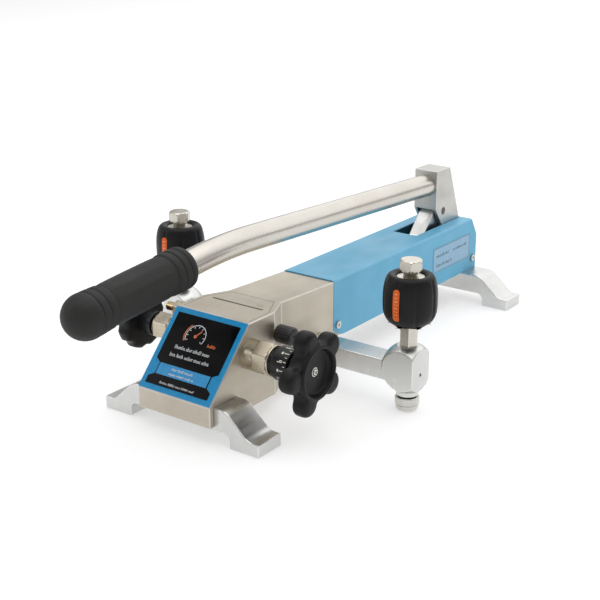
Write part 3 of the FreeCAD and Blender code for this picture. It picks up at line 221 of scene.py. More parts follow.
cast_satin = worked_metal("cast_satin", foot_dark, foot_pale, 0.24, 0.40, 0.5 * mm, 0.012 * mm)
cast_edge = rubbed_and_highlit(cast_satin, 0.2, 0.85)
for node in ("front_foot", "rear_foot"):
    foot = eased(node, [cast_satin, cast_edge], (every_edge, foot_edge, 3))
    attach(foot, "frame")
    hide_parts(node)

# ------------------------------------------------------------ manifold block
# The block that holds every passage and valve: one billet of aluminium, milled
# with a sloping face and a taper, bead-blasted and plated champagne nickel.
# A groove and a shallow outline are engraved in its flat top, their cut walls painted dark as shade in the
# recesses.

block_dark = (0.47, 0.425, 0.355)
block_pale = (0.57, 0.525, 0.445)
# dark colour for the engraved walls: painted shade in the recesses
groove_painted_shade = (0.16, 0.145, 0.12)
deck_outline = [(32.4, 47.6), (32.4, 72.4), (21.2, 94.0), (-21.2, 94.0), (-32.4, 72.4), (-32.4, 47.6)]
line_width = 0.55
line_depth = 0.35

block_low, block_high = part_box("manifold_block")
block_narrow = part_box("cover")[1]
foot_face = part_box("front_foot")[0].y

satin_nickel = worked_metal(
    "satin_nickel", block_dark, block_pale, 0.40, 0.52, 0.55 * mm, 0.03 * mm
)
nickel_edge = rubbed_and_highlit(satin_nickel, 0.22, 0.8)
groove_shade_finish = worked_metal(
    "engraved_line_painted_shade", groove_painted_shade, [2 * c for c in groove_painted_shade], 0.5, 0.7, 0.4 * mm, 0.02 * mm
)


def bar_between(shape, start, end, width, low, high):
    """A closed straight bar from start to end on a flat, between two heights."""
    along = (end - start).normalized()
    side = Vector((-along.y, along.x)) * width / 2
    start = start - along * width / 2
    end = end + along * width / 2
    corners = [start - side, end - side, end + side, start + side]
    box_of(shape, [(c.x, c.y, low) for c in corners], [(c.x, c.y, high) for c in corners])


def box_of(shape, lower, upper, material=0):
    """A closed prism between two outlines of as many points, in millimetres."""
    lows = [shape.verts.new(Vector(p) * mm) for p in lower]
    highs = [shape.verts.new(Vector(p) * mm) for p in upper]
    faces = [shape.faces.new(lows[::-1]), shape.faces.new(highs)]
    for index in range(len(lows)):
        after = (index + 1) % len(lows)
        faces.append(shape.faces.new([lows[index], lows[after], highs[after], highs[index]]))
    for face in faces:
        face.material_index = material


def cut_into(piece, shape, finish):
    """Cut a tool's shape out of a piece, leaving the cut walls in that finish."""
    bmesh.ops.recalc_face_normals(shape, faces=shape.faces[:])
    tool = piece_of("cutting_tool", shape, [finish])
    tool.modifiers.clear()
    cut = piece.modifiers.new("cut", "BOOLEAN")
    cut.object = tool
    cut.operation = "DIFFERENCE"
    cut.solver = "EXACT"
    cut.use_self = True
    cut.material_mode = "TRANSFER"
    piece.modifiers.move(len(piece.modifiers) - 1, 0)
    bpy.context.view_layer.update()
    result = bpy.data.meshes.new_from_object(
        piece.evaluated_get(bpy.context.evaluated_depsgraph_get())
    )
    piece.modifiers.remove(cut)
    piece.data = result
    bpy.data.objects.remove(tool)
    result.set_sharp_from_angle(angle=math.radians(32))


def rounded_bar(shape, start, end, width, low, high, steps=10):
    """A closed straight bar with round ends, between two heights."""
    lean = math.atan2(end.y - start.y, end.x - start.x)
    outline = []
    for middle, turn in ((end, lean - math.pi / 2), (start, lean + math.pi / 2)):
        for step in range(steps + 1):
            here = turn + math.pi * step / steps
            outline.append(middle + Vector((math.cos(here), math.sin(here))) * width / 2)
    box_of(shape, [(c.x, c.y, low) for c in outline], [(c.x, c.y, high) for c in outline])


wide_half = 36.0
narrow_half = block_narrow.x / mm
taper_start = 75.2
taper_end = 96.5
block_nose = 5.0
block_end = 170.3
underside = 14.0
foot_seat = 29.5
foot_gap = 0.2
foot_depth = 28.0
slope_run = 48.6
slope_foot_height = 31.0
deck_top = block_high.z / mm
rear_top = deck_top - 3.0
wide_side = [
    (-block_nose, underside), (-foot_gap, underside), (-foot_gap, foot_seat),
    (foot_depth + foot_gap, foot_seat),
    (foot_depth + foot_gap, underside), (taper_start, underside), (taper_start, deck_top),
    (slope_run - block_nose, deck_top), (-block_nose, slope_foot_height),
]
to_row = foot_face / mm
billet = bmesh.new()
flanks = []
for sign in (-1, 1):
    flanks.append([billet.verts.new(Vector((sign * wide_half, y + to_row, z)) * mm) for y, z in wide_side])
left, right = flanks
billet.faces.new(left[::-1])
billet.faces.new(right)
corners = len(wide_side)
for index in range(corners):
    after = (index + 1) % corners
    if index != 5:
        billet.faces.new([left[index], left[after], right[after], right[index]])
rows = [[left[5], right[5], right[6], left[6]]]
for y, top in ((taper_end, deck_top), (block_end, rear_top)):
    spots = ((-1, underside), (1, underside), (1, top), (-1, top))
    rows.append([billet.verts.new(Vector((sign * narrow_half, y + to_row, z)) * mm) for sign, z in spots])
for near, far in zip(rows, rows[1:]):
    for index in range(4):
        after = (index + 1) % 4
        billet.faces.new([near[index], near[after], far[after], far[index]])
billet.faces.new(rows[-1])
bmesh.ops.recalc_face_normals(billet, faces=billet.faces[:])
ease(billet, every_edge, 0.9, 3, 1, 12)
block = piece_of("manifold_block_made", billet, [satin_nickel, nickel_edge])

lines = bmesh.new()
line_low = deck_top - line_depth
spots = [Vector((across, along + to_row)) for across, along in deck_outline]
for start, end in zip(spots, spots[1:]):
    bar_between(lines, start, end, line_width, line_low, deck_top + 1)
for across in (15.0, 18.2):
    start = Vector((across, 79.6 + to_row))
    bar_between(lines, start, start + Vector((0.9, 2.2)), 0.7, line_low, deck_top + 1)
groove_y = 74.0 + to_row
groove_half = 24.4
rounded_bar(
    lines, Vector((-groove_half, groove_y)), Vector((groove_half, groove_y)), 2.2, deck_top - 1, deck_top + 1
)
# the cut walls of the lines and groove take the dark painted-shade finish
cut_into(block, lines, groove_shade_finish)
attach(block, "frame")
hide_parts("manifold_block")

# the block's spigot, which fills the cover's mouth
spigot = bmesh.new()
spigot_half = narrow_half - 1.1
corners = [(-spigot_half, block_end - 0.5 + to_row), (spigot_half, block_end - 0.5 + to_row),
           (spigot_half, block_end + 9.7 + to_row), (-spigot_half, block_end + 9.7 + to_row)]
box_of(spigot, [(*c, 32.1) for c in corners], [(*c, rear_top - 0.6) for c in corners])
ease(spigot, every_edge, 0.5, 2, 1)
spigot_piece = piece_of("block_spigot", spigot, [satin_nickel, nickel_edge])
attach(spigot_piece, "frame")

# the two check valves stand out of sight in the block, balls on wire springs
check_steel = worked_metal(
    "ground_steel", (0.42, 0.42, 0.42), (0.6, 0.6, 0.6), 0.12, 0.3, 1.5 * mm, 0.003 * mm
)
for node in ("check_balls", "check_springs"):
    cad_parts[node].data.materials.clear()
    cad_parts[node].data.materials.append(check_steel)

# --------------------------------------------------------------- front label
# A stiff printed label let down on the sloping face: blue film round the rim,
# a glossy black field over it, and pale print. The print is plain strokes and
# a gauge dial, so that it names nobody.

slope_angle = math.atan2(deck_top - slope_foot_height, slope_run)
rim_blue = (0.009, 0.225, 0.475)
rim_blue_pale = (0.014, 0.265, 0.54)
field_black = (0.0016, 0.0016, 0.002)
print_white = (0.62, 0.64, 0.66)
print_orange = (0.72, 0.16, 0.035)

slope_seat = (
    Matrix.Translation((0, block_low.y, slope_foot_height * mm))
    @ Matrix.Rotation(slope_angle, 4, "X")
)


def printed_film(name, dark, pale, smooth=0.16, rough=0.30, peel=0.012):
    """Printed plastic film: even colour, a little mottle and a soft peel."""
    finish = new_finish(name, 0.0)
    mottle = speckle(finish, 3 * mm, 4)
    skin = speckle(finish, 1.1 * mm, 2)
    wipe = speckle(finish, 14 * mm, 5, (3, 1, 1))
    tone(finish, mottle, dark, pale)
    gloss(finish, wipe, smooth, rough)
    relief(finish, (skin, peel * mm))
    return finish


label_blue = dull(printed_film("label_blue", rim_blue, rim_blue_pale, 0.22, 0.36), 0.2)
label_black = dull(
    printed_film("label_black", field_black, [1.7 * c for c in field_black], 0.10, 0.22), 0.1
)
label_ink = printed_film("label_ink", [0.85 * c for c in print_white], print_white, 0.3, 0.5)
label_orange = printed_film("label_orange", [0.8 * c for c in print_orange], print_orange, 0.3, 0.5)
box_blue = dull(printed_film("label_box_blue", (0.035, 0.26, 0.54), (0.045, 0.30, 0.60), 0.2, 0.35), 0.2)
plate = eased("label_plate", [label_blue, rubbed_and_highlit(label_blue, 0.12, 0.8)], (every_edge, 0.35, 2))
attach(plate, "frame")
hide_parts("label_plate")
field = eased("label_panel", [label_black], (every_edge, 0.08, 1))
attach(field, "frame")
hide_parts("label_panel")

field_top = 1.1
ink_top = 1.16
strokes = random.Random(11)


def flat_bar(shape, left, low, right, high, base=field_top, top=ink_top):
    """A thin closed bar of print between two corners on a flat."""
    corners = [(left, low), (right, low), (right, high), (left, high)]
    box_of(shape, [(*c, base - 0.02) for c in corners], [(*c, top) for c in corners])


def stroke_line(shape, left, right, low, height, gap=1.15, width=0.55, base=field_top, top=ink_top):
    """A line of short strokes in word-like runs, which spells nothing."""
    spot = left
    run = 0
    while spot < right:
        tall = height * strokes.choice((0.62, 0.62, 0.7, 1.0))
        flat_bar(shape, spot, low, spot + width, low + tall, base, top)
        if strokes.random() < 0.55:
            cross = low + strokes.choice((0, 0.3, 0.55)) * height
            flat_bar(shape, spot, cross, spot + gap, cross + 0.4, base, top)
        run += 1
        spot += gap
        if run > strokes.choice((4, 6, 8)):
            run = 0
            spot += gap
    return shape


def ring_strip(shape, centre, inner, outer, first, last, steps, base=field_top, top=ink_top):
    """A closed arc of print, angles in degrees."""
    for step in range(steps):
        turns = [math.radians(first + (last - first) * (step + k) / steps) for k in (0, 1)]
        corners = [(inner, turns[0]), (outer, turns[0]), (outer, turns[1]), (inner, turns[1])]
        spots = [(centre[0] + r * math.cos(t), centre[1] + r * math.sin(t)) for r, t in corners]
        box_of(shape, [(*s, base - 0.02) for s in spots], [(*s, top) for s in spots])


def print_on(name, shape, seat, finish, body="frame"):
    """Seat a sheet of print and fix it to its body."""
    piece = piece_of(name, shape, [finish], 20)
    piece.data.transform(seat)
    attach(piece, body)
    return piece


words = bmesh.new()
stroke_line(words, -19, 14.5, 37.0, 3.1)
stroke_line(words, -20.5, 19, 30.2, 3.1)
dial = (-5.0, 50.2)
ring_strip(words, dial, 9.0, 9.7, -30, 210, 30)
for turn in range(-30, 211, 30):
    ring_strip(words, dial, 7.2, 8.4, turn - 2.4, turn + 2.4, 1)
print_on("label_words", words, slope_seat, label_ink)
hand = bmesh.new()
tip = Vector((dial[0] + 6.4 * math.cos(math.radians(52)), dial[1] + 6.4 * math.sin(math.radians(52))))
bar_between(hand, Vector(dial), tip, 0.8, field_top - 0.02, ink_top)
ring_strip(hand, dial, 0.05, 1.5, 0, 360, 14)
ring_strip(hand, dial, 10.4, 11.2, 130, 210, 12)
stroke_line(hand, 9.5, 18, 44.4, 2.6)
print_on("label_dial_hand", hand, slope_seat, label_orange)

neck_half = 26.0
neck_low = 13.8
neck_high = 23.2
box = bmesh.new()
flat_bar(box, 0.9 - neck_half, neck_low, neck_half - 0.9, neck_high)
print_on("label_box", box, slope_seat, box_blue)
small = bmesh.new()
stroke_line(small, -12, 10, 19.2, 2.0, 1.0, 0.5, ink_top, ink_top + 0.05)
stroke_line(small, -13, 12, 15.2, 2.0, 1.0, 0.5, ink_top, ink_top + 0.05)
stroke_line(small, -17.5, 16, 7.0, 1.9, 0.95, 0.42)
print_on("label_small_words", small, slope_seat, label_ink)

# -------------------------------------------------- folded cover and its trim
# The cover over the cylinder: one sheet of steel folded to a long trough, its
# rear corner sloped off, powder coated a satin sky blue. Two socket screws a
# side hold it, and a thin printed foil plate is stuck on its right flank.

cover_dark = (0.120, 0.415, 0.620)
cover_pale = (0.145, 0.460, 0.680)
fold_radius = 1.7


def powder_coat(name, dark, pale):
    """Baked powder coat: even colour, a fine orange peel and a satin sheen."""
    finish = new_finish(name, 0.0)
    mottle = speckle(finish, 24 * mm, 3)
    peel = speckle(finish, 0.9 * mm, 2)
    handled = speckle(finish, 16 * mm, 5, (1, 3, 1))
    tone(finish, blended(finish, mottle, peel, 0.25), dark, pale)
    gloss(finish, handled, 0.34, 0.48)
    relief(finish, (peel, 0.014 * mm), (mottle, 0.03 * mm))
    return finish


cover_low, cover_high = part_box("cover")
cover_half = cover_high.x / mm
cover_start = cover_low.y / mm
cover_end = cover_high.y / mm
cover_top = cover_high.z / mm
cover_foot = cover_low.z / mm
sheet = 1.0
slope_run_rear = 11.0
slope_drop_rear = 17.6
slot_half = 13.0
slot_start = 326.0 + to_row
slot_end = 409.2 + to_row
notch = (13.7, 6.5)
slope_start = cover_end - slope_run_rear
slope_foot = cover_top - slope_drop_rear
blue_cover = dull(powder_coat("blue_cover", cover_dark, cover_pale), 0.3)
blue_edge = rubbed_and_highlit(blue_cover, 0.06, 0.9)

folded = bmesh.new()
points = {}


def corner(x, y, z):
    """One vertex of the sheet, made once and shared."""
    key = (round(x, 3), round(y, 3), round(z, 3))
    if key not in points:
        points[key] = folded.verts.new(Vector(key) * mm)
    return points[key]


tops = [cover_start, slot_start, slot_end, slope_start]
crosses = [-cover_half, -slot_half, slot_half, cover_half]
for column, (near, far) in enumerate(zip(tops, tops[1:])):
    for row, (left, right) in enumerate(zip(crosses, crosses[1:])):
        if (column, row) != (1, 1):
            folded.faces.new([corner(left, near, cover_top), corner(right, near, cover_top),
                              corner(right, far, cover_top), corner(left, far, cover_top)])
for side_x in (-cover_half, cover_half):
    flank = [(y, cover_top) for y in tops] + [(cover_end, slope_foot), (cover_end, cover_foot)]
    flank += [(cover_start + notch[0], cover_foot), (cover_start, cover_foot + notch[1])]
    folded.faces.new([corner(side_x, y, z) for y, z in flank])
folded.faces.new([corner(x, slope_start, cover_top) for x in crosses]
                 + [corner(cover_half, cover_end, slope_foot), corner(-cover_half, cover_end, slope_foot)])
folded.faces.new([corner(-cover_half, cover_end, slope_foot), corner(cover_half, cover_end, slope_foot),
                  corner(cover_half, cover_end, cover_foot), corner(-cover_half, cover_end, cover_foot)])
bmesh.ops.recalc_face_normals(folded, faces=folded.faces[:])
ease(folded, every_edge, fold_radius, 4, 1)
cover = piece_of("cover_made", folded, [blue_cover, blue_edge])
if cover.data.polygons[0].normal.z < 0:
    cover.data.flip_normals()
thick = cover.modifiers.new("sheet", "SOLIDIFY")
thick.thickness = sheet * mm
thick.offset = -1
thick.use_even_offset = True
rim = cover.modifiers.new("rim", "BEVEL")
rim.width = 0.2 * mm
rim.segments = 2
rim.limit_method = "ANGLE"
rim.angle_limit = math.radians(50)
cover.modifiers.move(0, 2)
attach(cover, "frame")
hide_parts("cover")

bright_steel = worked_metal(
    "bright_steel", (0.50, 0.485, 0.45), (0.68, 0.665, 0.63), 0.14, 0.30, 0.6 * mm, 0.004 * mm
)
bright_edge = rubbed_and_highlit(bright_steel, 0.16, 0.85)
screws = eased("cover_screws", [bright_steel, bright_edge], (every_edge, 0.28, 2))
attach(screws, "frame")
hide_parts("cover_screws")

foil_dark = (0.235, 0.435, 0.60)
foil_ink = (0.10, 0.14, 0.19)
foil_low, foil_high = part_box("data_plate")
foil_long = (foil_high.y - foil_low.y) / mm
foil_tall = (foil_high.z - foil_low.z) / mm
data_blue = printed_film("data_blue", foil_dark, [1.08 * c for c in foil_dark], 0.3, 0.45)
data_ink = printed_film("data_ink", foil_ink, [1.3 * c for c in foil_ink], 0.4, 0.6)
foil = eased("data_plate", [data_blue], (every_edge, 0.12, 2))
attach(foil, "frame")
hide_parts("data_plate")
foil_seat = (
    Matrix.Translation((foil_high.x, foil_low.y, foil_low.z))
    @ Matrix.Rotation(math.radians(90), 4, "Z")
    @ Matrix.Rotation(math.radians(90), 4, "X")
)
table = bmesh.new()
inset = 0.5
for left, low, right, high in (
    (inset, inset, foil_long - inset, inset + 0.5),
    (inset, foil_tall - inset - 0.5, foil_long - inset, foil_tall - inset),
    (inset, inset, inset + 0.5, foil_tall - inset),
    (foil_long - inset - 0.5, inset, foil_long - inset, foil_tall - inset),
):
    flat_bar(table, left, low, right, high, 0, 0.05)
stroke_line(table, 6, 30, 14.6, 3.0, 1.25, 0.6, 0, 0.05)
stroke_line(table, 37, 64, 14.6, 3.0, 1.25, 0.6, 0, 0.05)
stroke_line(table, 6, 36, 5.2, 3.0, 1.25, 0.6, 0, 0.05)
print_on("data_print", table, foil_seat, data_ink)

# ---------------------------------------------- chassis and pump, under cover
# Inside the cover: a steel strip screwed to the rear foot, a bracket at its
# end, and the pump itself, a honed cylinder held between the block and a rear
# head by four tie rods, with its piston, seals, rod and crosshead.

inner_steel = worked_metal(
    "inner_steel", (0.34, 0.34, 0.335), (0.50, 0.50, 0.49), 0.22, 0.42, 0.7 * mm, 0.008 * mm, (1, 8, 1)
)
inner_edge = rubbed_and_highlit(inner_steel, 0.25, 0.8)
seal_rubber = printed_film("seal_rubber", (0.012, 0.012, 0.012), (0.02, 0.02, 0.02), 0.4, 0.6, 0.02)
ground_rod = worked_metal(
    "ground_rod", (0.5, 0.5, 0.49), (0.68, 0.68, 0.67), 0.08, 0.2, 0.5 * mm, 0.002 * mm, (1, 0.3, 1)
)
for node in ("base_plate", "rear_bracket", "rear_head", "tie_rods"):
    part = eased(node, [inner_steel, inner_edge], (every_edge, 0.3, 2))
    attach(part, "frame")
    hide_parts(node)
for node, finish in (
    ("cylinder", inner_steel), ("piston", inner_steel), ("piston_seals", seal_rubber),
    ("piston_rod", ground_rod), ("port_seals", seal_rubber), ("drain_seals", seal_rubber),
):
    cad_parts[node].data.materials.clear()
    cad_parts[node].data.materials.append(finish)
crosshead = eased("crosshead", [inner_steel, inner_edge], (every_edge, 0.4, 2))
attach(crosshead, "piston_train")
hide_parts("crosshead")

dark_steel = worked_metal(
    "dark_steel", (0.05, 0.05, 0.053), (0.12, 0.12, 0.125), 0.3, 0.5, 0.6 * mm, 0.008 * mm
)
dark_edge = rubbed_and_highlit(dark_steel, 0.16, 0.7)
foot_screws = eased("chassis_screws", [dark_steel, dark_edge], (every_edge, 0.25, 2))
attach(foot_screws, "frame")
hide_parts("chassis_screws")

# --------------------------------------- fulcrum arm, pin, lever head and tail
# The lever turns on a pin through a flat cast arm that leans back out of the
# cover's slot. The lever head is a cast aluminium fork over that arm, satin
# tumbled, bored in front for the handle; its tail pin works the crosshead.

head_edge = 1.1
head_corner = 1.0


def along_top(edge):
    """The edges round the head's flat top."""
    return all(abs(v.co.z - head_high.z) < 0.05 * mm for v in edge.verts)


def outer_corner(edge):
    """The head's long outer corners, and not those of the gap between its cheeks."""
    outer = all(abs(abs(v.co.x) - head_high.x) < 0.05 * mm for v in edge.verts)
    return outer and edge.calc_length() > 7 * mm


head_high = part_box("lever_head")[1]
arm = eased("fulcrum_arm", [cast_satin, cast_edge], (every_edge, 0.9, 3))
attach(arm, "frame")
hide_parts("fulcrum_arm")
head_satin = worked_metal(
    "head_satin", (0.47, 0.465, 0.44), (0.60, 0.59, 0.56), 0.34, 0.48, 0.55 * mm, 0.02 * mm
)
head = eased("lever_head", [head_satin, rubbed_and_highlit(head_satin, 0.12, 0.9)],
             (outer_corner, head_corner, 3), (along_top, head_edge, 3))
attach(head, "lever")
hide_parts("lever_head")
pin = eased("fulcrum_pin", [dark_steel, dark_edge], (every_edge, 0.6, 3))
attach(pin, "frame")
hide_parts("fulcrum_pin")
for node, body in (("pin_clips", "frame"), ("tail_pin", "lever")):
    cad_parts[node].data.materials.clear()
    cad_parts[node].data.materials.append(dark_steel)

# ------------------------------------------------------ handle tube and grip
# The handle is one steel tube, gently bent, ground satin along its length and
# nickel plated. A moulded rubber grip is pushed on its front end: a round nose,
# ring grooves behind it, a lightly flatted middle and ringed rear end.

droop = math.radians(5.15)
rise = math.radians(2.57)
tube_radius = 10.6
bend_radius = 480.0
nose_radius = 17.0
nose_to_bend = 148.8
grip_length = 119.0
grip_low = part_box("grip")[0]
tube_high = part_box("handle_tube")[1]


def lofted(shape, rings, material=0, closed=False):
    """Skin rows of vertices in order; a row of one vertex is a tip."""
    rows = [[shape.verts.new(spot) for spot in ring] for ring in rings]
    pairs = list(zip(rows, rows[1:])) + ([(rows[-1], rows[0])] if closed else [])
    for low, high in pairs:
        count = max(len(low), len(high))
        for index in range(count):
            after = (index + 1) % count
            if len(low) == 1:
                corners = [low[0], high[after], high[index]]
            elif len(high) == 1:
                corners = [low[index], low[after], high[0]]
            else:
                corners = [low[index], low[after], high[after], high[index]]
            shape.faces.new(corners).material_index = material
    return rows


def turned(stations, seat, around=96, outline=None, closed=False, shape=None):
    """A turned shape from (radius, height) stations; outline can reshape each ring."""
    shape = shape or bmesh.new()
    rings = []
    for radius, height in stations:
        if radius == 0:
            rings.append([seat @ Vector((0, 0, height * mm))])
            continue
        ring = []
        for step in range(around):
            turn = 2 * math.pi * step / around
            reach = outline(turn, radius, height) if outline else radius
            spot = Vector((reach * math.cos(turn), reach * math.sin(turn), height))
            ring.append(seat @ (spot * mm))
        rings.append(ring)
    lofted(shape, rings, closed=closed)
    return shape


nose = Vector((0, grip_low.y + nose_radius * mm, grip_low.z + nose_radius * mm))
forward = Vector((0, -math.cos(droop), -math.sin(droop)))
bend = nose - forward * (nose_to_bend * mm / math.cos(droop))
reach = bend_radius * math.tan((droop + rise) / 2) * mm
rear_heading = Vector((0, math.cos(rise), -math.sin(rise)))
bend_start = bend + forward * reach
spine = [(nose - forward * 2 * mm, droop), (bend_start, droop)]
bend_steps = 14
centre = bend_start + Vector((0, math.sin(droop), -math.cos(droop))) * bend_radius * mm
for step in range(1, bend_steps + 1):
    heading = droop - (droop + rise) * step / bend_steps
    lean = Vector((0, -math.sin(heading), math.cos(heading)))
    spine.append((centre + lean * bend_radius * mm, heading))
bend_end = spine[-1][0]
tail = tube_high.y - 0.4 * mm
spine.append((bend_end + rear_heading * ((tail - bend_end.y) / rear_heading.y), -rise))
rings = []
for spot, heading in spine:
    lean = Vector((0, -math.sin(heading), math.cos(heading)))
    rings.append([
        spot + (Vector((math.sin(turn), 0, 0)) + lean * math.cos(turn)) * tube_radius * mm
        for turn in (2 * math.pi * step / 72 for step in range(72))
    ])
tube_shape = bmesh.new()
lofted(tube_shape, [[spine[0][0]], *rings, [spine[-1][0]]])
brushed_tube = worked_metal(
    "brushed_tube", (0.56, 0.53, 0.48), (0.62, 0.59, 0.54), 0.24, 0.30, 0.5 * mm, 0.0015 * mm, (1, 14, 1)
)
tube = piece_of("handle_tube_made", tube_shape, [brushed_tube])
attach(tube, "lever")
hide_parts("handle_tube")

flats = 12
flat_start = 25.0
flat_end = 80.0
grip_stations = [
    (10.62, 1.0), (10.9, 0.3), (11.8, 0.0), (13.4, 0.1), (15.0, 0.9), (16.1, 2.3), (16.5, 4.2), (16.5, 6.6),
    (16.2, 7.0), (15.75, 7.4), (15.75, 8.1), (16.3, 8.6), (16.6, 9.2), (16.6, 13.2), (16.3, 13.7),
    (15.8, 14.1), (15.8, 14.8), (16.2, 15.3), (16.4, 15.9), (16.35, 20.0), (16.0, 20.7), (15.3, 21.2),
    (15.2, 22.2), (15.5, 23.2), (15.7, 24.5), (15.8, 30.0), (15.9, 42.0), (15.95, 55.0), (15.9, 68.0),
    (15.8, 78.0), (15.6, 82.0), (15.2, 83.0), (15.2, 84.0), (15.9, 84.8), (16.3, 85.6), (16.5, 90.0),
    (16.2, 90.7), (15.8, 91.1), (15.8, 91.8), (16.3, 92.4), (16.7, 93.1), (16.85, 97.4), (16.5, 98.0),
    (16.1, 98.4), (16.1, 99.0), (16.6, 99.6), (16.95, 100.4),
]
nose_steps = 14
for step in range(nose_steps):
    lift = math.radians(90 * step / nose_steps)
    grip_stations.append(
        (nose_radius * math.cos(lift), grip_length - nose_radius + nose_radius * math.sin(lift))
    )
grip_stations.append((0, grip_length))


def lightly_flatted(turn, radius, height):
    """Twelve faint flats along the middle of the grip."""
    if not flat_start < height < flat_end:
        return radius
    pitch = 2 * math.pi / flats
    across = (turn % pitch) - pitch / 2
    return radius * (0.35 + 0.65 * math.cos(pitch / 2) / math.cos(across)) + 0.15


def moulded_rubber(name, dark, pale):
    """Moulded rubber: matt black, a fine pebble, and a dusty bloom on it."""
    finish = new_finish(name, 0.0)
    bloom = speckle(finish, 20 * mm, 4)
    pebble = speckle(finish, 0.8 * mm, 2)
    tone(finish, blended(finish, bloom, pebble, 0.45), dark, pale)
    gloss(finish, bloom, 0.52, 0.68)
    relief(finish, (pebble, 0.05 * mm))
    return finish


grip_seat = Matrix.Translation(nose + forward * (nose_radius - grip_length) * mm) @ forward.to_track_quat(
    "Z", "Y"
).to_matrix().to_4x4()
grip_rubber = dull(moulded_rubber("grip_rubber", (0.017, 0.017, 0.0163), (0.027, 0.027, 0.026)), 0.25)
grip = piece_of("grip_made", turned(grip_stations, grip_seat, 144, lightly_flatted), [grip_rubber], 50)
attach(grip, "lever")
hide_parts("grip")

# ------------------------------------------- side arms, end blocks and stems
# A square aluminium arm runs out of each flank to a ball-shaped end block,
# turned, then milled flat in front, behind and outside. A plated hexagonal
# stem is screwed in its top, and carries the test port.

sides = (("right", 1), ("left", -1))
satin_steel = worked_metal(
    "stem_nickel", (0.50, 0.47, 0.41), (0.66, 0.63, 0.57), 0.22, 0.36, 0.5 * mm, 0.008 * mm
)
satin_steel_edge = rubbed_and_highlit(satin_steel, 0.3, 0.7)
for side, sign in sides:
    for node, inset in ((f"{side}_arm", 0.9), (f"{side}_end_block", 0.7)):
        part = eased(node, [cast_satin, cast_edge], (every_edge, inset, 3))
        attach(part, "frame")
        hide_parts(node)
    stem = eased(f"{side}_port_stem", [satin_steel, satin_steel_edge], (every_edge, 0.35, 2))
    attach(stem, "frame")
    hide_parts(f"{side}_port_stem")

# ------------------------------------------------------- port sleeves, plugs
# Each port has a loose black sleeve that is turned by hand: moulded plastic,
# barrel-shaped, with eight shallow flutes and an orange insert in its front.
# A plated plug with a bevelled hexagon closes the port above it.

sleeve_stations = [
    (8.6, 0.3), (9.6, 0), (12.2, 0), (14.4, 0.5), (16.6, 1.8), (18.6, 3.9), (20.1, 6.8), (21.0, 10.2),
    (21.35, 14.0), (21.45, 19.0), (21.4, 24.0), (21.1, 28.5), (20.5, 32.4), (19.7, 35.6), (18.8, 37.7),
    (17.9, 38.9), (16.9, 39.7), (15.8, 40.1), (14.6, 40.1), (13.2, 39.8), (12.0, 39.3), (11.3, 38.6),
    (11.05, 37.9), (11.05, 31.0), (8.6, 30.6),
]
flute_count = 8
flute_half = math.radians(6.5)
flute_depth = 0.9
insert_half = 3.4
insert_low = 6.8
insert_high = 32.2
insert_corner = 2.6


def fluted(turn, radius, height):
    """Shallow round-bottomed flutes that run out near both ends."""
    if radius < 15 or height < 2 or height > 38.5:
        return radius
    pitch = 2 * math.pi / flute_count
    across = (turn + pitch / 2) % pitch - pitch / 2
    if abs(across) > flute_half:
        return radius
    fade = min(1, (height - 2) / 5, (38.5 - height) / 4)
    return radius - flute_depth * fade * math.cos(across / flute_half * math.pi / 2) ** 2


def barrel_radius(height):
    """The sleeve's outer radius at a height above its foot."""
    outer = sleeve_stations[2:18]
    for (low_r, low_h), (high_r, high_h) in zip(outer, outer[1:]):
        if low_h <= height <= high_h:
            return low_r + (high_r - low_r) * (height - low_h) / (high_h - low_h)
    return outer[-1][0]


def insert_shape(seat, lift, half, low, high, corner, rows=26, columns=8):
    """A thin pad with rounded corners, bent round the barrel's front."""
    shape = bmesh.new()
    fronts = []
    backs = []
    for row in range(rows + 1):
        height = low + (high - low) * (0.5 - 0.5 * math.cos(math.pi * row / rows))
        inset = max(0.0, corner - min(height - low, high - height))
        width = half - corner + math.sqrt(max(corner**2 - inset**2, 0.04))
        front = []
        back = []
        for column in range(columns + 1):
            across = width * (2 * column / columns - 1)
            edge = max(abs(across) / width, 0) ** 6
            reach = barrel_radius(height) + lift - 0.25 * edge
            front.append(seat @ (Vector((across, -math.sqrt(reach**2 - across**2), height)) * mm))
            deep = barrel_radius(height) - 1.6
            back.append(seat @ (Vector((across, -math.sqrt(deep**2 - across**2), height)) * mm))
        fronts.append(front)
        backs.append(back[::-1])
    lofted(shape, [front + back for front, back in zip(fronts, backs)])
    shape.verts.ensure_lookup_table()
    count = 2 * (columns + 1)
    shape.faces.new([shape.verts[index] for index in range(count)])
    last = len(shape.verts) - count
    shape.faces.new([shape.verts[last + index] for index in range(count)])
    return shape


def moulded_plastic(name, dark, pale, smooth, rough):
    """Moulded black plastic: matt, faint flow clouds, fine spark texture."""
    finish = new_finish(name, 0.0)
    flow = speckle(finish, 12 * mm, 4)
    spark = speckle(finish, 0.6 * mm, 2)
    tone(finish, blended(finish, flow, spark, 0.4), dark, pale)
    gloss(finish, blended(finish, flow, spark, 0.3), smooth, rough)
    relief(finish, (spark, 0.02 * mm))
    return finish


knob_black = dull(
    moulded_plastic("knob_black", (0.005, 0.005, 0.0055), (0.010, 0.010, 0.011), 0.34, 0.5), 0.2
)
orange = dull(moulded_plastic("insert_orange", (0.60, 0.085, 0.012), (0.76, 0.15, 0.022), 0.22, 0.36), 0.25)
orange_pale = moulded_plastic("insert_print", (0.85, 0.30, 0.16), (0.92, 0.42, 0.26), 0.3, 0.45)
insert_marks = [
    (9.4, 2.4), (12.0, 3.6), (14.4, 1.6), (17.2, 3.4), (20.0, 2.0), (22.6, 3.6), (25.4, 2.6),
    (28.6, 3.2),
]

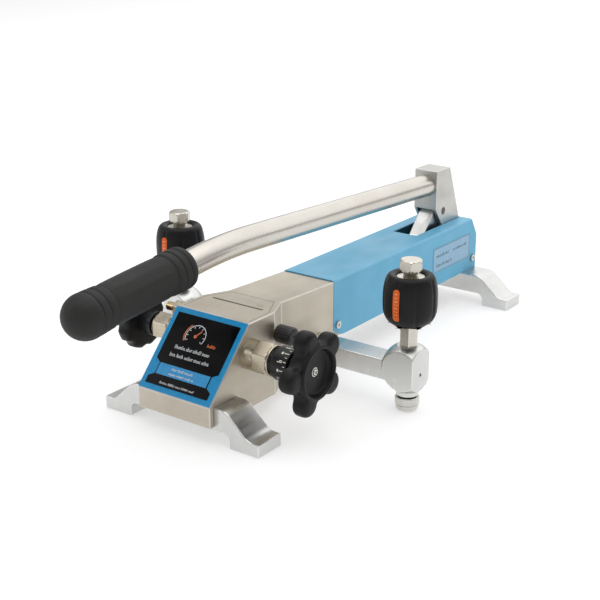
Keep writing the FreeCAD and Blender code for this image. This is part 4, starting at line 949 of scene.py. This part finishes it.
plug_flats = 17.0
plug_stations = [
    (0, 0), (6.6, 0), (7.6, 0.1), (8.2, 0.5), (9.0, 1.2), (9.9, 2.2), (9.9, 7.4), (9.2, 8.3),
    (8.5, 9.0), (7.7, 9.4), (6.8, 9.5), (0, 9.5),
]
neck_stations = [
    (0, -11.6), (5.4, -11.6), (6.0, -11.0), (6.0, -4.6), (5.3, -4.2), (6.0, -3.8), (5.3, -3.3),
    (6.0, -2.8), (5.3, -2.3),
    (6.0, -1.8), (5.2, -1.3), (5.2, 0.02), (0, 0.02),
]


def bevelled_hexagon(turn, radius, height):
    """Six flats, cut back to the round where the bevel is smaller."""
    across = turn % math.radians(60) - math.radians(30)
    return min(radius, plug_flats / 2 / math.cos(across))


for side, sign in sides:
    low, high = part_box(f"{side}_port_sleeve")
    seat = Matrix.Translation(((low.x + high.x) / 2, (low.y + high.y) / 2, low.z))
    sleeve = piece_of(
        f"{side}_sleeve_made", turned(sleeve_stations, seat, 176, fluted, closed=True), [knob_black], 40
    )
    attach(sleeve, f"{side}_sleeve")
    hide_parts(f"{side}_port_sleeve")
    pad = insert_shape(seat, 0.12, insert_half, insert_low, insert_high, insert_corner)
    insert = piece_of(f"{side}_insert_made", pad, [orange], 45)
    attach(insert, f"{side}_sleeve")
    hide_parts(f"{side}_sleeve_window")
    marks = bmesh.new()
    for height, width in insert_marks:
        for across in (-1, 1) if width < 2.5 else (0,):
            wide = width / 2 if across == 0 else width / 3.4
            middle = across * 0.95
            reach = barrel_radius(height) + 0.12
            corners = [(middle - wide / 1.6, height), (middle + wide / 1.6, height),
                       (middle + wide / 1.6, height + 0.85), (middle - wide / 1.6, height + 0.85)]
            box_of(
                marks, [(x, -reach + 0.6, z) for x, z in corners], [(x, -reach - 0.03, z) for x, z in corners]
            )
    print_on(f"{side}_insert_marks", marks, seat, orange_pale, f"{side}_sleeve")

    low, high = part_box(f"{side}_port_plug")
    plug_seat = Matrix.Translation(((low.x + high.x) / 2, (low.y + high.y) / 2, high.z - 9.5 * mm))
    plug_shape = turned(plug_stations, plug_seat, 144, bevelled_hexagon)
    turned(neck_stations, plug_seat, 48, shape=plug_shape)
    plug = piece_of(f"{side}_plug_made", plug_shape, [satin_steel], 18)
    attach(plug, "frame")
    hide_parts(f"{side}_port_plug")

# ---------------------------------------------------------------- drain caps
# A little cap under each end block closes its drain: turned aluminium with a
# knurled band to grip and a plain rounded foot, screwed up on a seal.

cap_stations = [
    (0, 0), (7.4, 0), (8.4, 0.25), (9.0, 0.9), (9.2, 1.7), (9.2, 3.9), (9.05, 4.2), (9.5, 4.5), (9.85, 4.8),
    (9.85, 9.9), (9.5, 10.3), (9.1, 10.6), (9.0, 10.8), (0, 10.8),
]
knurls = 56


def knurled(turn, radius, height):
    if not 4.6 < height < 10.1:
        return radius
    return radius - 0.3 * (0.5 - 0.5 * math.cos(knurls * turn))


for side, sign in sides:
    low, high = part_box(f"{side}_drain_cap")
    seat = Matrix.Translation(((low.x + high.x) / 2, (low.y + high.y) / 2, low.z))
    cap = piece_of(f"{side}_cap_made", turned(cap_stations, seat, 6 * knurls, knurled), [bright_steel], 24)
    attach(cap, f"{side}_cap")
    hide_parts(f"{side}_drain_cap")

# ------------------------------------------------------------ shut-off valves
# A plated steel body, a dark gland and a black ring stand out of each flank of
# the block. The right ring is numbered and its phenolic knob has five lobes; the
# left one is smaller, plain, and its round knob is scooped. A screw holds each.

warm_steel = worked_metal(
    "warm_steel", (0.43, 0.375, 0.285), (0.60, 0.535, 0.43), 0.18, 0.32, 0.5 * mm, 0.005 * mm
)
warm_edge = rubbed_and_highlit(warm_steel, 0.14, 0.85)
gland_dark = worked_metal(
    "gland_dark", (0.07, 0.075, 0.09), (0.13, 0.14, 0.165), 0.22, 0.36, 0.6 * mm, 0.005 * mm
)
ring_black = dull(
    moulded_plastic("ring_black", (0.007, 0.007, 0.008), (0.012, 0.012, 0.0135), 0.24, 0.36), 0.3
)
ring_ink = printed_film("ring_ink", (0.62, 0.58, 0.50), (0.72, 0.68, 0.60), 0.35, 0.5)
brass = worked_metal("brass", (0.60, 0.42, 0.20), (0.78, 0.60, 0.34), 0.16, 0.30, 0.5 * mm, 0.004 * mm)

lobe_count = 5
lobe_circle = 25.3
lobe_radius = 9.5
valley_circle = 29.91
valley_radius = 8.11
rim_radius = 21.2
knob_thick = {"right": 14.4, "left": 13.5}
dish_floor = {"right": 8.9, "left": 10.0}
knob_node = {"right": "right_star_knob", "left": "left_round_knob"}
knob_hub = 8.0
knob_turn = math.radians(197)
knob_layers = [
    (3.6, 0.15), (2.2, 0.35), (1.0, 1.1), (0.25, 2.4), (0.0, 4.2), (0.0, 7.6), (0.25, 9.2), (0.9, 10.7),
    (2.0, 11.7), (3.4, 12.35), (5.2, 12.75), (7.0, 12.9),
]
dish_stations = [
    (rim_radius + 0.35, 12.95), (rim_radius + 0.1, 13.5), (20.8, 14.1), (20.3, 14.4), (19.6, 14.4),
    (18.9, 14.2),
    (18.4, 13.6), (18.1, 12.6), (17.6, 10.8), (16.9, 9.6), (15.6, 9.0), (12.0, 8.92), (6.0, 8.9), (0, 8.9),
]


def lobed_ring(inset, steps=14):
    """The star's outline, drawn in by inset: round lobes run into round valleys."""
    half = math.pi / lobe_count
    valley = Vector((valley_circle * math.cos(half), valley_circle * math.sin(half)))
    lobe = Vector((lobe_circle, 0))
    lean = math.atan2(valley.y - lobe.y, valley.x - lobe.x)
    spots = []
    for step in range(2 * steps):
        turn = lean * (step / steps - 1)
        spots.append(lobe + Vector((math.cos(turn), math.sin(turn))) * (lobe_radius - inset))
    start = lean + math.pi
    end = 2 * half + math.pi - lean
    for step in range(steps):
        turn = start + (end - start) * step / steps
        spots.append(valley + Vector((math.cos(turn), math.sin(turn))) * (valley_radius + inset))
    ring = []
    for lobe_number in range(lobe_count):
        spin = Matrix.Rotation(2 * half * lobe_number, 2)
        ring += [spin @ spot for spot in spots]
    return ring


def star_knob(seat):
    """The whole knob: hub, rounded lobes, raised rim and dished face."""
    outline = lobed_ring(0)
    turns = [math.atan2(spot.y, spot.x) for spot in outline]
    rings = [[(0, 0, -knob_hub)]]
    for radius, height in ((10.4, -knob_hub), (11.0, -knob_hub + 0.6), (11.0, -0.5), (11.6, 0.1)):
        rings.append([(radius * math.cos(t), radius * math.sin(t), height) for t in turns])
    for inset, height in knob_layers:
        ring = []
        for spot in lobed_ring(inset):
            reach = max(spot.length, rim_radius + 0.35)
            ring.append((*(spot.normalized() * reach), height))
        rings.append(ring)
    for radius, height in dish_stations[:-1]:
        rings.append([(radius * math.cos(t), radius * math.sin(t), height) for t in turns])
    rings.append([(0, 0, dish_stations[-1][1])])
    shape = bmesh.new()
    lofted(shape, [[seat @ (Vector(spot) * mm) for spot in ring] for ring in rings])
    return shape


digits = ("abcdef", "bc", "abged", "abgcd", "fgbc", "afgcd")


def wrapped_bar(shape, radius, first, last, low, high):
    """A bar of print bent round a ring, turns in degrees."""
    turns = [math.radians(t) for t in (first, (first + last) / 2, last)]
    inner = [(radius - 0.1, t) for t in turns]
    outer = [(radius + 0.05, t) for t in turns]
    outline = [(r * math.cos(t), r * math.sin(t)) for r, t in outer + inner[::-1]]
    box_of(shape, [(x, y, low) for x, y in outline], [(x, y, high) for x, y in outline])


def ring_digit(shape, radius, turn, low, number):
    """A seven-bar number, upright when read along the ring."""
    wide = 8.0
    tall = 4.4
    thick = 0.75
    thick_turn = math.degrees(thick / radius)
    left = turn - wide / 2
    right = turn + wide / 2
    bars = {
        "a": (left, right, low + tall - thick, low + tall),
        "g": (left, right, low + tall / 2 - thick / 2, low + tall / 2 + thick / 2),
        "d": (left, right, low, low + thick),
        "f": (left, left + thick_turn, low + tall / 2, low + tall),
        "e": (left, left + thick_turn, low, low + tall / 2),
        "b": (right - thick_turn, right, low + tall / 2, low + tall),
        "c": (right - thick_turn, right, low, low + tall / 2),
    }
    for bar in digits[number]:
        wrapped_bar(shape, radius, *bars[bar])


def valve_seat(side, node):
    """Where a valve's turning piece starts, its Z pointing out of that flank."""
    low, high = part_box(f"{side}_{node}")
    out = side == "right"
    start = low.x if out else high.x
    spin = Matrix.Rotation(math.radians(90 if out else -90), 4, "Y")
    return Matrix.Translation((start, (low.y + high.y) / 2, (low.z + high.z) / 2)) @ spin


ring_stations = {
    "right": [
        (9.6, 0), (12.7, 0), (13.2, 0.25), (13.45, 0.8), (13.45, 13.2), (13.2, 13.75), (12.7, 14.0),
        (4.1, 14.0), (4.1, 4.6), (9.6, 4.6),
    ],
    "left": [
        (7.6, 0), (9.5, 0), (9.9, 0.2), (10.15, 0.7), (10.15, 7.3), (9.9, 7.8), (9.5, 8.0), (4.1, 8.0),
        (4.1, 3.6), (7.6, 3.6),
    ],
}
round_stations = [
    (0, -3.6), (8.9, -3.6), (9.3, -3.2), (9.4, -2.6), (9.4, -0.4), (10.0, 0.1), (19.4, 0.3), (21.0, 0.8),
    (22.2, 1.8), (23.0, 3.2), (23.3, 5.0), (23.3, 8.2), (23.0, 10.2), (22.1, 11.8), (20.6, 12.9),
    (18.6, 13.5), (15.6, 13.5), (14.6, 13.2), (14.0, 12.4), (13.3, 10.6), (12.2, 10.1),
    (6.0, 10.0), (0, 10.0),
]
scoops = 8
scoop_depth = 1.8
scoop_half = math.radians(12.5)
scoop_start = 15.5
scoop_root = 15
round_rim = 23.3
screw_stations = [
    (0, 0.8), (1.2, 0.8), (1.2, 1.6), (1.7, 1.75), (2.3, 1.6), (2.7, 1.1), (2.8, 0.5), (3.6, 0.35),
    (3.6, 0), (0, 0),
]


def scooped(turn, radius, height):
    """Eight shallow scoops round the rim of the small knob."""
    if radius < scoop_start or height < 0.05:
        return radius
    pitch = 2 * math.pi / scoops
    across = (turn + pitch / 2) % pitch - pitch / 2
    share = max(0.0, 1 - (across / scoop_half) ** 2)
    return radius - scoop_depth * share * (radius - scoop_root) / (round_rim - scoop_root)


for side, sign in sides:
    body_piece = eased(f"{side}_valve_body", [warm_steel, warm_edge], (every_edge, 0.5, 3))
    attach(body_piece, "frame")
    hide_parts(f"{side}_valve_body")
    gland = eased(f"{side}_valve_gland", [gland_dark], (every_edge, 0.4, 2))
    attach(gland, "frame")
    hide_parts(f"{side}_valve_gland")
    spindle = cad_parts[f"{side}_valve_spindle"]
    spindle.data.materials.clear()
    spindle.data.materials.append(bright_steel)
    seat = valve_seat(side, "index_ring")
    ring = piece_of(
        f"{side}_ring_made", turned(ring_stations[side], seat, 96, closed=True), [ring_black], 30
    )
    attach(ring, f"{side}_valve")
    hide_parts(f"{side}_index_ring")

seat = valve_seat("right", "index_ring")
scale = bmesh.new()
ring_face = 13.45
mark_top = 13.0
for place in range(24):
    turn = 15 * place
    if place % 4 == 0:
        ring_digit(scale, ring_face, turn, 5.4, place // 4)
        wrapped_bar(scale, ring_face, turn - 1.6, turn + 1.6, 10.8, mark_top)
    elif place % 4 == 2:
        wrapped_bar(scale, ring_face, turn - 1.6, turn + 1.6, 8.6, mark_top)
        wrapped_bar(scale, ring_face, turn - 4.5, turn + 4.5, 6.2, 7.8)
    else:
        wrapped_bar(scale, ring_face, turn - 1.1, turn + 1.1, 10.9, mark_top)
print_on("right_ring_scale", scale, seat, ring_ink, "right_valve")

# the knobs, with the screw that holds each
for side, sign in sides:
    low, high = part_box(knob_node[side])
    ring_low, ring_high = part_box(f"{side}_index_ring")
    end = high.x if sign > 0 else low.x
    middle = (ring_low + ring_high) / 2
    spin = Matrix.Rotation(math.radians(90 * sign), 4, "Y")
    if sign > 0:
        spin = spin @ Matrix.Rotation(knob_turn, 4, "Z")
    knob_seat = Matrix.Translation((end - sign * knob_thick[side] * mm, middle.y, middle.z)) @ spin
    if sign > 0:
        shape = star_knob(knob_seat)
    else:
        shape = turned(round_stations, knob_seat, 18 * scoops, scooped)
    knob = piece_of(f"{side}_knob_made", shape, [knob_black], 50)
    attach(knob, f"{side}_valve")
    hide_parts(knob_node[side])
    floor_seat = knob_seat @ Matrix.Translation((0, 0, dish_floor[side] * mm))
    screw = piece_of(f"{side}_screw_made", turned(screw_stations, floor_seat, 48), [bright_steel], 30)
    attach(screw, f"{side}_valve")
    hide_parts(f"{side}_knob_screw")

# ------------------------------------------- vent knob and relief fitting
# A small knurled plastic knob on a brass spindle bleeds the block on its right
# flank. On the left is a hexagonal relief fitting with a brass setting screw.

vent_stations = [
    (0, 0), (6.4, 0), (7.0, 0.4), (7.35, 1.0), (7.35, 13.6), (7.1, 14.6), (6.5, 15.4), (5.6, 15.8),
    (4.4, 15.9), (0, 15.9),
]
vent_ridges = 20


def vent_ridged(turn, radius, height):
    if height < 1.2 or height > 14.0:
        return radius
    return radius - 0.55 * max(0, math.cos(vent_ridges * turn)) ** 2


low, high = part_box("vent_knob")
vent_seat = Matrix.Translation((low.x, (low.y + high.y) / 2, (low.z + high.z) / 2)) @ Matrix.Rotation(
    math.radians(90), 4, "Y"
)
vent_black = moulded_plastic("vent_black", (0.010, 0.010, 0.011), (0.02, 0.02, 0.021), 0.2, 0.32)
vent = piece_of(
    "vent_knob_made", turned(vent_stations, vent_seat, 12 * vent_ridges, vent_ridged), [vent_black], 40
)
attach(vent, "vent_valve")
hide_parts("vent_knob")
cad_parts["vent_spindle"].data.materials.clear()
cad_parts["vent_spindle"].data.materials.append(brass)
for node, finish, edge, slot in (
    ("relief_body", warm_steel, warm_edge, "warm_steel"),
    ("relief_screw", brass, rubbed_and_highlit(brass, 0.25, 0.7), "brass"),
):
    part = eased(node, [finish, edge], (every_edge, 0.4, 2))
    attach(part, "frame")
    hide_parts(node)

# ------------------------------------------------ floor, soft light, camera
# A plain white table under a big soft light, with a broad second light behind
# the pump and a weak one from the left in front, and a dim room all round.


def flat_sheet(name, half, height, finish):
    shape = bmesh.new()
    shape.faces.new(
        [shape.verts.new((x * half, y * half, height)) for x, y in ((-1, -1), (1, -1), (1, 1), (-1, 1))]
    )
    mesh = bpy.data.meshes.new(name)
    shape.to_mesh(mesh)
    shape.free()
    mesh.materials.append(finish)
    sheet = bpy.data.objects.new(name, mesh)
    bpy.context.scene.collection.objects.link(sheet)
    return sheet


floor_white = new_finish("floor_white", 0.0)
floor_mottle = speckle(floor_white, 60 * mm, 2)
tone(floor_white, floor_mottle, (0.60, 0.60, 0.60), (0.61, 0.61, 0.61))
shader_of(floor_white).inputs["Emission Color"].default_value = (1, 1, 1, 1)
shader_of(floor_white).inputs["Emission Strength"].default_value = 0.46
gloss(floor_white, floor_mottle, 0.85, 0.9)
shader_of(floor_white).inputs["Specular IOR Level"].default_value = 0.1
flat_sheet("floor", 9, -0.1 * mm, floor_white)


def soft_light(name, spot, aim, wide, tall, power, colour=(1, 1, 1)):
    lamp = bpy.data.lights.new(name, "AREA")
    lamp.shape = "RECTANGLE"
    lamp.size = wide
    lamp.size_y = tall
    lamp.energy = power
    lamp.color = colour
    holder = bpy.data.objects.new(name, lamp)
    holder.location = spot
    holder.rotation_euler = (Vector(aim) - Vector(spot)).to_track_quat("-Z", "Y").to_euler()
    bpy.context.scene.collection.objects.link(holder)


soft_light("overhead", (0.0, 0.1, 2.4), (0, 0, 0), 3.4, 3.4, 46)
soft_light("behind", (0.1, 2.7, 1.7), (0, 0, 0.1), 5.2, 2.3, 34)
soft_light("left_front", (-1.6, -1.3, 1.1), (0, 0, 0.05), 1.2, 1.0, 5)
world = bpy.data.worlds.new("room")
world.use_nodes = True
world.node_tree.nodes["Background"].inputs["Color"].default_value = (1, 1, 1, 1)
world.node_tree.nodes["Background"].inputs["Strength"].default_value = 0.48
bpy.context.scene.world = world
bpy.context.scene.view_settings.view_transform = "Standard"

turn = math.radians(36.15)
lift = math.radians(19.45)
camera = bpy.data.cameras.new("camera")
camera.lens = 73.57
camera.sensor_width = 36
camera.clip_end = 50
viewer = bpy.data.objects.new("camera", camera)
viewer.location = (0.5785, -0.7919, 0.4089)
away = Vector((math.sin(turn) * math.cos(lift), -math.cos(turn) * math.cos(lift), math.sin(lift)))
viewer.rotation_euler = (-away).to_track_quat("-Z", "Y").to_euler()
bpy.context.scene.collection.objects.link(viewer)
bpy.context.scene.camera = viewer
